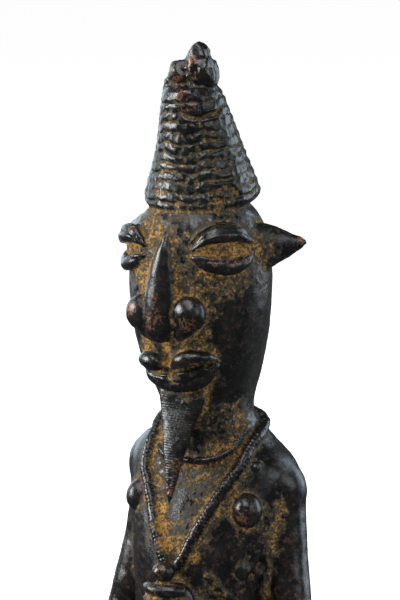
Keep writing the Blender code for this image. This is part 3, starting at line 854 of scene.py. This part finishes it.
def carve_trunk(skin):
    """The cords' twist, two pits and two lumps on the trunk, and the raised upper edge of a forearm."""
    amounts = np.zeros(len(skin.points))
    for cord in CORDS:
        for side in (-1, 1):
            distance, along = to_route(skin.points, curved_route(cord_route(cord, side)), CORD_REACH)
            rows = np.flatnonzero(distance < CORD_REACH)
            twist = np.sin(2 * math.pi * (along[rows] * cord.lays + 0.25 * (distance[rows] - 1)))
            lumps = grain(skin.points[rows], 1.8, 9.3)
            near = smooth_share((CORD_REACH - distance[rows]) / 0.8)
            amounts[rows] += near * (0.12 * twist + 0.2 * lumps)
    for pit, size, depth in (
        (on_trunk(70, 116.8), 1.5, 1.1),
        (on_trunk(63, 114.8), 1.1, 0.6),
        (on_trunk(55, 116.4), 1.8, -0.7),
        (on_trunk(48, 145.5), 1.2, -0.7),
    ):
        gap = np.linalg.norm(skin.points - np.array(pit), axis=1)
        amounts -= depth * smooth_share((size * 1.6 - gap) / size)
    distance, _ = to_route(skin.points, curved_route(FOREARM_EDGE), FOREARM_EDGE_REACH)
    amounts += 0.6 * smooth_share((FOREARM_EDGE_REACH - distance) / 1.2)
    return amounts


def carve_body(skin):
    """The relief of the trunk, folds in the cloth, rings on the stool and creases between the toes."""
    x, y, z = skin.points.T
    amounts = carve_trunk(skin)
    cloth = np.flatnonzero((z > 44) & (z < 79) & (y < -14) & (np.abs(x) < 9.5))
    folds = np.sin(x[cloth] * 1.5 + 0.5 * grain(skin.points[cloth], 8.0, 2.0))
    amounts[cloth] += CLOTH_FOLD_HEIGHT * folds * window(z[cloth], 46, 76, 3.0)
    stem = np.flatnonzero((z > 8) & (z < 47) & (y > -8))
    turned = np.hypot(x[stem], y[stem] - STOOL_AXIS_Y)
    on_stem = smooth_share(1.5 - np.abs(turned - 17.6) / 2)
    waves = np.cos(z[stem] * 2 * math.pi / STOOL_RING_PITCH)
    amounts[stem] += on_stem * STOOL_RING_HEIGHT * waves * window(z[stem], 12, 44, 3.0)
    toes = np.flatnonzero((z > 0) & (z < 5) & (y < TOES_BACK_Y) & (y > -47))
    spread = np.abs(x[toes]) - TOES_X
    between = np.abs((spread / TOE_WIDTH + 0.5) % 1.0 - 0.5) * TOE_WIDTH
    crease = np.clip(1 - between / 0.55, 0, 1) * (np.abs(spread) < TOES_HALF_WIDTH)
    amounts[toes] -= TOE_CREASE_DEPTH * crease * smooth_share((TOES_BACK_Y - y[toes]) / 1.5)
    skin.push(amounts)


def unevenness(skin):
    """The lumps and pits of a surface cast from hand-worked wax."""
    low = np.clip((skin.points[:, 2] + 8) / 8, 0, 1)
    amounts = 0.2 * grain(skin.points, 6.5, 4.4) + 0.1 * grain(skin.points, 2.0, 9.1)
    skin.push(amounts * smooth_share(low))


def patch_table(skull=(), trunk=(), free=()):
    """Patches from rows of a place, a reach and a strength.

    A place is degrees, z and how proud on the skull, degrees and z on the trunk, and x, y and z elsewhere.
    """
    return [
        *(Patch(on_surface(SKULL, *row[:3]), *row[3:]) for row in skull),
        *(Patch(on_trunk(*row[:2]), *row[2:]) for row in trunk),
        *(Patch(Vector(row[:3]), *row[3:]) for row in free),
    ]


CRUST = patch_table(
    skull=(
        # The patches across the forehead just under the cap are weak (0.42 to 0.5), so the crust there
        # comes out browner and darker: real crust, darkened as painted shade from the cap.
        (-48, 213, 2, 9, 0.55), (-24, 212, 2, 10, 0.8), (-6, 212, 2, 11, 0.5), (12, 211, 2, 12, 0.42),
        (30, 214, 2, 11, 0.42), (52, 215, 2, 11, 0.45), (76, 213, 2, 10, 0.5), (88, 205, 2, 9, 0.5),
        (80, 198, 2, 8, 0.5), (104, 210, 2, 9, 0.5), (-50, 205.8, 1, 5.5, 1.0), (-38, 206, 1, 5, 1.0),
        (-64, 205.8, 1, 5, 1.0), (32, 206, 1, 4, 1.0), (42, 206, 1, 4.2, 1.1), (54, 206, 1, 4.2, 1.2),
        (66, 205.6, 1, 4, 1.1), (-22, 200, 0, 8, 0.8), (-20, 190, 0, 6, 0.8), (14, 204, 0, 8, 0.5),
        (16, 196, 0, 7, 0.6), (10, 189, 0, 5, 0.6), (28, 198, 0, 9, 0.5), (46, 196, 0, 8, 0.6),
        (62, 198, 0, 7, 0.5), (36, 190, 0, 7, 0.45), (-34, 195, 0, 7, 0.3), (30, 183, 1, 5, 0.8),
        (38, 178, 1, 6, 0.45), (14, 180.5, 1, 5, 0.6), (-4, 179, 1, 4.5, 1.1), (-4, 174.5, 1, 3, 1.2),
        (-26, 180, 1, 5, 0.9), (-38, 178, 1, 4, 0.7), (-16, 171.4, 1, 4, 0.7), (2, 171.0, 1, 4, 0.8),
        (18, 172, 1, 4, 0.6), (-10, 166.5, 1, 4, 0.4), (8, 165, 1, 4, 0.7), (30, 166.5, 0, 5, 0.8),
        (46, 168, 0, 5, 0.4), (26, 158, 1, 7, 0.4), (50, 157, 1, 8, 0.5), (72, 158, 1, 8, 0.6),
        (34, 150, 1, 7, 0.55), (60, 151, 1, 7, 0.5),
    ),
    trunk=(
        (64, 146, 7, 0.5), (14, 143, 8, 0.4), (-12, 138, 7, 0.5), (-14, 132, 4, 1.0), (-13, 127, 4, 1.2),
        (-8, 122, 4, 1.2), (0, 126, 7, 0.5), (8, 134, 9, 0.45), (4, 142, 8, 0.45), (17, 120, 3, 0.9),
        (64, 134, 5, 0.4), (62, 122, 5, 0.4), (-30, 148, 7, 0.5), (23, 126, 3, 0.7), (-14, 141, 6, 0.6),
        (30, 132, 4, 0.4), (54, 127, 9, 0.35), (58, 116, 8, 0.35), (-40, 144, 8, 0.4), (-56, 134, 7, 0.45),
        (-62, 120, 9, 0.5),
    ),
    free=(
        (-2, -24, 108, 6, 1.0), (6, -22, 106, 6, 0.7), (0, -23, 113, 6, 0.8), (14, -16, 110, 4, 0.5),
        (0, -14, 66, 14, 0.4), (0, -10, 10, 26, 0.3), (-24, 2, 92, 10, 0.4), (27, 2, 128, 14, 0.3),
        (29, 0, 106, 15, 0.3), (-27, 0, 112, 18, 0.3), (0, 24, 100, 40, 0.2), (0, 20, 190, 28, 0.2),
        (0, 10, 30, 50, 0.2),
    ),
) + [Patch(spot, 1.7, 1.3) for spot in FOREARM_EDGE]
WEAR = patch_table(
    skull=(
        (52, 203.8, 3, 3.4, 0.9), (40, 203.7, 3, 3.0, 0.7), (64, 204.0, 3, 3.0, 0.8),
        (26, 174.6, 2.5, 3.4, 0.7), (38, 174.8, 2, 3.0, 0.7),
    ),
    free=(
        (1.4, -9.2, 257.5, 3.4, 1.0), (-1.6, -9.4, 251.4, 3.2, 1.0), (3.0, -9.2, 253.6, 3.0, 0.9),
        (-4.8, -8.4, 255.0, 3.0, 0.9), (1, -13, 248.6, 4.0, 0.8), (3, -13.6, 245.2, 5.0, 0.7),
        (6.4, -12.4, 241.8, 3.6, 0.7), (-2.4, -22.6, 188, 5.0, 0.75), (-2, -22.4, 194, 3.5, 0.5),
        (8.0, -21.4, 186.6, 4.0, 0.9), (-9.8, -20.4, 189.6, 3.6, 0.8), (-0.6, -18, 139, 4.2, 1.0),
        (1.4, -16.6, 146, 3.6, 0.8), (18.4, -9.6, 131.4, 3.0, 1.1), (27.6, 8.6, 207.6, 2.6, 1.0),
        (0.2, -23.4, 117.4, 2.6, 0.8), (4.4, -17.4, 120.6, 3.4, 0.8), (8.6, -15.6, 126.2, 3.6, 0.8),
        (22, -8, 117, 3.0, 0.7), (-2.2, -14.8, 124, 5.0, 0.6), (25.2, -2, 136.5, 3.6, 0.5),
        (18.4, -33.4, 58, 4.5, 0.6), (-18.4, -33.4, 58, 4.5, 0.6),
    ),
)
UPPER_LIDS = (
    (30, 209.2), (38, 210.1), (46, 210.6), (54, 210.6), (62, 210.1), (70, 208.8),
    (-26, 209.4), (-34, 210), (-44, 209.8), (-54, 209.0), (-64, 208.0),
)
LOWER_LIDS = ((30, 202.7), (41, 201.7), (53, 201.4), (65, 202.2), (-32, 202.6), (-44, 201.7), (-58, 201.7))
RIDGE_TOP_X, RIDGE_TOP_Z, RIDGE_LEAN = -0.6, 210, 0.06
BARE = patch_table(
    skull=(
        *((degrees, z, 2, 2.4, 1.0) for degrees, z in UPPER_LIDS),
        *((degrees, z, 1.5, 2.6, 0.9) for degrees, z in LOWER_LIDS),
        (20, 176.2, 2.4, 3.4, 0.9), (32, 176, 2, 3.0, 0.9), (-22, 175, 2.4, 3.4, 0.9),
        (16, 168.4, 2, 3.4, 0.7), (-12, 168, 2, 3.4, 0.7), (30, 169.6, 2, 3, 0.7),
    ),
    free=(
        *((RIDGE_TOP_X - (RIDGE_TOP_Z - z) * RIDGE_LEAN, -21.6, z, 4.6, 1.0) for z in range(184, 201, 4)),
        *((RIDGE_TOP_X, -20.6, z, 2.8, 1.0) for z in (203, 206, 209)),
        (0, -17.4, 136, 4, 0.8), (0, -16.6, 141, 4.4, 1.0), (0, -15.6, 147, 5.4, 1.0),
        (0, -14.4, 153, 6.4, 1.0), (0, -13, 159, 7.4, 0.9),
    ),
)
RED = patch_table(
    skull=((78, 190, 0, 13, 0.8), (64, 182, 0, 8, 0.7)),
    free=(
        (26, 2, 128, 12, 1.0), (28, 0, 108, 14, 1.0), (20, -10, 100, 12, 1.0), (-27, 2, 120, 14, 0.8),
        (16, -8, 120, 9, 0.6), (0, -13, 245, 9, 0.6), (26, 6, 207, 7, 0.8), (0, 20, 60, 40, 0.5),
        (0, 26, 110, 30, 0.5),
    ),
)


def patched(points, patches):
    """The strength of the strongest patch at each point, 0 outside them all."""
    total = np.zeros(len(points))
    for patch in patches:
        gap = np.linalg.norm(points - np.array(patch.place), axis=1) / patch.reach
        total = np.maximum(total, patch.strength * smooth_share((1 - gap) * 1.6))
    return total


def thicken_crust(skin):
    """The grainy layer of the crust stands a little proud of the smooth metal."""
    share = patched(skin.points, CRUST)
    rows = np.flatnonzero(share > 0.05)
    here = skin.points[rows]
    lumps = 0.13 * grain(here, 1.1, 5.5, 2) + 0.1 * smooth_share(grain(here, 2.6, 1.9) * 3 + 0.5)
    amounts = np.zeros(len(share))
    amounts[rows] = np.minimum(share[rows], 1) * lumps
    skin.push(amounts)


def thin_out(obj, triangles):
    """Fewer faces where the surface is plain, so that the carving keeps its own."""
    obj.data.transform(Matrix.Scale(1 / UNIT, 4))
    thin = obj.modifiers.new("thin", "DECIMATE")
    thin.ratio = triangles / sum(len(polygon.vertices) - 2 for polygon in obj.data.polygons)
    apply_modifiers(obj)
    obj.data.transform(Matrix.Scale(UNIT, 4))


def centres(obj):
    """The middle of each face in drawn millimetres."""
    return read_vectors(obj.data.polygons, "center") / UNIT - np.array(DRAWN_ORIGIN)


def refine(obj, chosen):
    """Cuts each chosen face in four, for finer carving."""
    select_only(obj)
    for parts in (obj.data.vertices, obj.data.edges):
        parts.foreach_set("select", np.zeros(len(parts), bool))
    obj.data.polygons.foreach_set("select", chosen)
    bpy.ops.object.mode_set(mode="EDIT")
    bpy.ops.mesh.select_mode(type="FACE")
    bpy.ops.mesh.subdivide(number_cuts=1)
    bpy.ops.object.mode_set(mode="OBJECT")


class Nodes:
    """Adds nodes to a tree and links them. A socket's value is a number, a colour or another socket."""

    def __init__(self, tree):
        self.tree = tree

    def add(self, kind, inputs=(), **settings):
        node = self.tree.nodes.new(kind)
        for name, value in settings.items():
            setattr(node, name, value)
        for socket, value in dict(inputs).items():
            target = node.inputs[socket]
            if isinstance(value, bpy.types.NodeSocket):
                self.tree.links.new(value, target)
            else:
                target.default_value = value
        return node

    def maths(self, operation, *values):
        return self.add("ShaderNodeMath", enumerate(values), operation=operation).outputs[0]

    def plus(self, first, second):
        return self.maths("ADD", first, second)

    def times(self, first, second):
        return self.maths("MULTIPLY", first, second)

    def swing(self, value, amount):
        """How far a noise is off its middle, times an amount."""
        return self.times(self.maths("SUBTRACT", value, 0.5), amount)

    def spread(self, value, low, high, to_low=0.0, to_high=1.0):
        """A value eased from one range to another."""
        inputs = {"Value": value, "From Min": low, "From Max": high, "To Min": to_low, "To Max": to_high}
        return self.add("ShaderNodeMapRange", inputs, interpolation_type="SMOOTHSTEP").outputs[0]

    def mix(self, share, first, second):
        node = self.add("ShaderNodeMix", {0: share}, data_type="RGBA")
        for socket, value in ((node.inputs[6], first), (node.inputs[7], second)):
            if isinstance(value, bpy.types.NodeSocket):
                self.tree.links.new(value, socket)
            else:
                socket.default_value = (*value, 1.0)
        return node.outputs[2]

    def blend(self, share, first, second):
        """Mixes two numbers."""
        return self.add("ShaderNodeMix", {0: share, 2: first, 3: second}).outputs[0]

    def noise(self, where, size, detail=3.0, roughness=0.55):
        """Noise from 0 to 1 with lumps of a size in millimetres."""
        inputs = {"Vector": where, "Scale": 1 / (size * UNIT), "Detail": detail, "Roughness": roughness}
        return self.add("ShaderNodeTexNoise", inputs).outputs[0]

    def attribute(self, name):
        return self.add("ShaderNodeAttribute", attribute_name=name).outputs["Fac"]

    def join(self, value, shader, name):
        self.tree.links.new(value, shader.inputs[name])


def new_material(name):
    """A material, what adds nodes to it, and its shader."""
    material = bpy.data.materials.new(name)
    material.use_nodes = True
    return material, Nodes(material.node_tree), material.node_tree.nodes["Principled BSDF"]


BUMP_DEPTH = 0.3


def bronze_material(colours):
    """Dark patina with ochre crust in its hollows and copper showing on its worn high points."""
    material, nodes, shader = new_material("patinated_bronze")
    where = nodes.add("ShaderNodeTexCoord").outputs["Object"]
    broad = nodes.noise(where, 6.0)
    mottle = nodes.noise(where, 1.8, 4.0, 0.65)
    fine = nodes.noise(where, 0.7, 4.0, 0.7)
    elsewhere = nodes.add("ShaderNodeMapping", {0: where, 1: (0.1, 0.2, 0.3)}).outputs[0]
    specks = nodes.noise(elsewhere, 0.8, 3.0, 0.7)
    hollow = nodes.attribute("hollow")
    region = nodes.attribute("crust")

    patina = nodes.mix(nodes.spread(broad, 0.38, 0.66), colours.patina_black, colours.patina_brown)
    reddish = nodes.times(nodes.spread(mottle, 0.48, 0.62), nodes.attribute("red"))
    patina = nodes.mix(nodes.times(reddish, nodes.spread(fine, 0.4, 0.6)), patina, colours.patina_red)
    lying = nodes.plus(region, nodes.times(hollow, 0.55))
    for value, amount in ((broad, 0.45), (mottle, 1.1), (fine, 1.0)):
        lying = nodes.plus(lying, nodes.swing(value, amount))
    crust = nodes.spread(lying, 0.14, 0.6)
    bright = nodes.plus(nodes.times(region, 0.75), nodes.times(hollow, 0.35))
    for value, amount in ((broad, 1.0), (mottle, 1.7), (fine, 2.2)):
        bright = nodes.plus(bright, nodes.swing(value, amount))
    ochre = nodes.mix(nodes.spread(bright, 0.1, 0.5), colours.crust_brown, colours.crust_olive)
    ochre = nodes.mix(nodes.spread(bright, 0.42, 1.05), ochre, colours.crust_ochre)
    ochre = nodes.mix(nodes.times(nodes.spread(specks, 0.46, 0.58), 0.8), ochre, colours.patina_brown)
    colour = nodes.mix(crust, patina, ochre)
    worn = nodes.maths("SUBTRACT", nodes.attribute("wear"), nodes.times(hollow, 0.35))
    for value, amount in ((specks, 4.6), (mottle, 2.4)):
        worn = nodes.plus(worn, nodes.swing(value, amount))
    wear = nodes.spread(worn, 0.95, 1.7)
    nodes.join(nodes.mix(nodes.times(wear, 0.85), colour, colours.copper), shader, "Base Color")

    rough = nodes.blend(crust, nodes.spread(mottle, 0.3, 0.7, 0.17, 0.32), 0.85)
    nodes.join(nodes.blend(wear, rough, 0.34), shader, "Roughness")
    nodes.join(nodes.times(wear, 0.7), shader, "Metallic")

    height = nodes.plus(nodes.times(fine, 0.7), nodes.times(specks, 0.5))
    inputs = {"Strength": nodes.blend(crust, 0.35, 0.9), "Distance": BUMP_DEPTH * UNIT, "Height": height}
    nodes.join(nodes.add("ShaderNodeBump", inputs).outputs[0], shader, "Normal")
    return material


FLOOR_GLOW = 0.9


def floor_material(colours):
    """A plain, pale floor that looks as even as a paper backdrop."""
    material, nodes, shader = new_material("pale_floor")
    shader.inputs["Base Color"].default_value = (*colours.floor, 1.0)
    shader.inputs["Roughness"].default_value = 0.9
    shader.inputs["Emission Color"].default_value = (1.0, 1.0, 1.0, 1.0)
    seen = nodes.add("ShaderNodeLightPath").outputs["Is Camera Ray"]
    nodes.join(nodes.times(seen, FLOOR_GLOW), shader, "Emission Strength")
    return material


class FigureSizes(bpy.types.PropertyGroup):
    """How finely the figure is cast."""

    voxel: bpy.props.FloatProperty(
        name="Casting Grain",
        description="Size of the cells in which the forms are cast into one",
        default=0.45 * UNIT,
        min=0.3 * UNIT,
        unit="LENGTH",
    )


def colour_property(name, description, default):
    return bpy.props.FloatVectorProperty(
        name=name, description=description, default=default, min=0, max=1, subtype="COLOR"
    )


class PatinaColours(bpy.types.PropertyGroup):
    """The colours of the bronze and its stage."""

    patina_black: colour_property("Black Patina", "Darkest patina", (0.0032, 0.0036, 0.0042))
    patina_brown: colour_property("Brown Patina", "Lighter brown patina", (0.0098, 0.0102, 0.0088))
    patina_red: colour_property("Red Patina", "Red-brown mottling", (0.070, 0.026, 0.019))
    crust_ochre: colour_property("Ochre Crust", "Yellow crust left in the hollows", (0.42, 0.215, 0.045))
    crust_olive: colour_property("Olive Crust", "Duller crust", (0.072, 0.050, 0.018))
    crust_brown: colour_property("Brown Crust", "Darkest crust", (0.026, 0.018, 0.009))
    copper: colour_property("Worn Copper", "Bare metal on worn high points", (0.27, 0.12, 0.065))
    floor: colour_property("Floor", "The plain floor", (0.8, 0.8, 0.8))


class StageSettings(bpy.types.PropertyGroup):
    """Where the camera stands."""

    azimuth: bpy.props.FloatProperty(
        name="Azimuth",
        description="Which way round the figure the camera stands, from straight ahead towards its left",
        default=math.radians(30),
        subtype="ANGLE",
    )
    elevation: bpy.props.FloatProperty(
        name="Elevation",
        description="How far above the horizon the camera stands",
        default=math.radians(11),
        subtype="ANGLE",
    )
    distance: bpy.props.FloatProperty(
        name="Distance", description="From the camera to the figure's axis", default=0.8, unit="LENGTH"
    )


BODY_VOXEL_SHARE = 1.3
FILLET_ROUNDS = 24
TRIANGLES = 182000
FINE_LOW, FINE_HIGH, FINE_BACK_Y = 163, 252, 6
BEARD_REFINEMENTS = 2


def cast_in_one(name, forms, voxel):
    """Joins forms and casts them into one closed skin."""
    select_only(*forms)
    bpy.ops.object.join()
    bpy.ops.object.transform_apply(location=True, rotation=True, scale=True)
    whole = new_form(name)
    whole.data.name = name
    cast = whole.modifiers.new("cast_in_one", "REMESH")
    cast.mode = "VOXEL"
    cast.voxel_size = voxel
    cast.use_smooth_shade = True
    apply_modifiers(whole)
    return whole


def carve_relief(obj):
    """The relief on the cast forms, with finer faces on the head and the beard."""
    x, y, z = centres(obj).T
    refine(obj, (z > FINE_LOW) & (z < FINE_HIGH) & (y < FINE_BACK_Y))
    for _ in range(BEARD_REFINEMENTS):
        refine(obj, beard_front(centres(obj)) > 0)
    skin = Skin(obj)
    skin.soften(2, smooth_share((skin.points[:, 2] - 2) / 4))
    skin.refresh()
    for carve in (carve_cap, carve_knot, carve_face, carve_beard, carve_body, unevenness, thicken_crust):
        carve(skin)
        skin.refresh()


CAP_CRUST = 0.36
CHEST_CRUST = 0.22
LEAST_CRUST = 0.06
LEAST_RED = 0.15
BODY_RED = 0.35


def mark_patina(obj):
    """Stores where the metal is hollow, crusted, worn or reddish, as numbers that its finish follows."""
    skin = Skin(obj)
    small, large = skin.hollowness(8), skin.hollowness(50)
    skin.store("hollow", np.clip(small / 0.12, -1, 1) * 0.6 + np.clip(large / 0.5, -1, 1) * 0.4)
    _, y, z = skin.points.T
    grooves = CAP_CRUST * window(cap_places(skin)[1], 216, 247, 2.0)
    chest = CHEST_CRUST * window(z, 100, 160, 8.0) * smooth_share(-y / 6)
    lying = np.maximum.reduce([patched(skin.points, CRUST), grooves, chest]) + LEAST_CRUST
    skin.store("crust", lying - patched(skin.points, BARE))
    skin.store("wear", patched(skin.points, WEAR))
    body_red = LEAST_RED + BODY_RED * smooth_share((150 - z) / 10)
    skin.store("red", np.maximum(patched(skin.points, RED), body_red))


class BRONZE_OT_cast_figure(bpy.types.Operator):
    """Model the figure's forms, cast them into one and carve its relief"""

    bl_idname = "bronze_figure.cast_figure"
    bl_label = "Cast the Figure"

    def execute(self, context):
        voxel = context.scene.figure_sizes.voxel * 1.0
        body = [
            column(name, form.rings, 48, form.squareness, roll=form.roll)
            for name, form in (("skull", SKULL), ("trunk", TRUNK))
        ]
        for side in (-1, 1):
            body += [arm(side), *leg(side)]
        body = cast_in_one("body", body, voxel * BODY_VOXEL_SHARE)
        wax = Skin(body)
        wax.soften(FILLET_ROUNDS, smooth_share((wax.points[:, 2] - 60) / 20))
        wax.refresh()
        forms = [body]
        for modelled in (cap, nose, mouth, beard, breasts, necklace, staff, waistcloth, stool, base):
            forms += modelled()
        for side in (-1, 1):
            forms += [*eye(side), ear(side), *fist(side)]
        figure = cast_in_one(PIECE, forms, voxel)
        carve_relief(figure)
        thin_out(figure, TRIANGLES)
        bpy.ops.object.shade_smooth()
        mark_patina(figure)
        figure.data.materials.clear()
        figure.data.materials.append(bronze_material(context.scene.patina_colours))
        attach(figure, "root")
        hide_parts(NODE)
        return {"FINISHED"}


SENSOR = 36.0
FRAME_HEIGHT_AT_AXIS = 0.1667
TARGET = (0.0, 0.005, 0.1975)
FLOOR_SIZE = 16.0
SKY_STRENGTH = 0.09
WHITE = (0.97, 0.99, 1.0)
COOL_WHITE = (0.88, 0.95, 1.0)
SKY_BLUE = (0.74, 0.88, 1.0)
SOFT_LIGHTS = (
    ("overhead", -30, 70, 0.9, 0.5, 2.8, WHITE),
    ("front_top", 20, 48, 0.9, 0.4, 3.6, WHITE),
    ("left_front", -58, 15, 0.9, 0.42, 10.0, WHITE),
    ("right_front", 80, 20, 1.2, 0.5, 2.4, COOL_WHITE),
    ("back_right", 142, 10, 0.9, 0.7, 5.5, SKY_BLUE),
    ("back_left", -118, 12, 0.9, 0.7, 3.0, SKY_BLUE),
)


def stand(name, data, azimuth, elevation, distance):
    """Stands a light or a camera off the figure's middle, facing it. The angles are in radians."""
    obj = bpy.data.objects.new(name, data)
    bpy.context.scene.collection.objects.link(obj)
    level = math.cos(elevation)
    back = Vector((math.sin(azimuth) * level, -math.cos(azimuth) * level, math.sin(elevation)))
    obj.location = Vector(TARGET) + back * distance
    obj.rotation_euler = (-back).to_track_quat("-Z", "Y").to_euler()
    return obj


def area_light(name, azimuth, elevation, distance, size, power, colour):
    """A soft square light that faces the figure's middle and is not seen itself."""
    light = bpy.data.lights.new(name, "AREA")
    light.shape = "SQUARE"
    light.size = size
    light.energy = power
    light.color = colour
    lamp = stand(name, light, math.radians(azimuth), math.radians(elevation), distance)
    lamp.visible_camera = False


class BRONZE_OT_set_stage(bpy.types.Operator):
    """Set a plain pale floor, soft lights and the camera"""

    bl_idname = "bronze_figure.set_stage"
    bl_label = "Set the Stage"

    def execute(self, context):
        scene = context.scene
        stage = scene.stage_settings
        bpy.ops.object.select_all(action="DESELECT")
        bpy.ops.mesh.primitive_plane_add(size=FLOOR_SIZE, location=(0, 0, 0))
        floor = new_form("floor")
        floor.data.materials.append(floor_material(scene.patina_colours))
        floor.visible_glossy = False

        world = bpy.data.worlds.new("studio")
        scene.world = world
        world.use_nodes = True
        sky = world.node_tree.nodes["Background"]
        sky.inputs["Color"].default_value = (1, 1, 1, 1)
        sky.inputs["Strength"].default_value = SKY_STRENGTH
        for lamp in SOFT_LIGHTS:
            area_light(*lamp)

        camera = bpy.data.cameras.new("camera")
        camera.sensor_width = SENSOR
        camera.lens = SENSOR * stage.distance / FRAME_HEIGHT_AT_AXIS
        scene.camera = stand("camera", camera, stage.azimuth, stage.elevation, stage.distance)
        scene.view_settings.view_transform = "Standard"
        return {"FINISHED"}


class BRONZE_PT_figure(bpy.types.Panel):
    """Lists the figure's steps and settings"""

    bl_label = "Bronze Figure"
    bl_idname = "BRONZE_PT_figure"
    bl_space_type = "VIEW_3D"
    bl_region_type = "UI"
    bl_category = "Bronze Figure"

    def draw(self, context):
        scene = context.scene
        layout = self.layout
        for group in (scene.figure_sizes, scene.patina_colours, scene.stage_settings):
            box = layout.box()
            for name in group.bl_rna.properties.keys():
                if name not in ("rna_type", "name"):
                    box.prop(group, name)
        for operator in OPERATORS:
            layout.operator(operator.bl_idname)


OPERATORS = (BRONZE_OT_cast_figure, BRONZE_OT_set_stage)
SETTINGS = {"figure_sizes": FigureSizes, "patina_colours": PatinaColours, "stage_settings": StageSettings}
CLASSES = (*SETTINGS.values(), *OPERATORS, BRONZE_PT_figure)


def register():
    for cls in CLASSES:
        bpy.utils.register_class(cls)
    for name, group in SETTINGS.items():
        setattr(bpy.types.Scene, name, bpy.props.PointerProperty(type=group))


def unregister():
    for name in SETTINGS:
        delattr(bpy.types.Scene, name)
    for cls in reversed(CLASSES):
        bpy.utils.unregister_class(cls)


def main():
    register()
    bpy.ops.bronze_figure.cast_figure()
    bpy.ops.bronze_figure.set_stage()


if __name__ == "__main__":
    main()
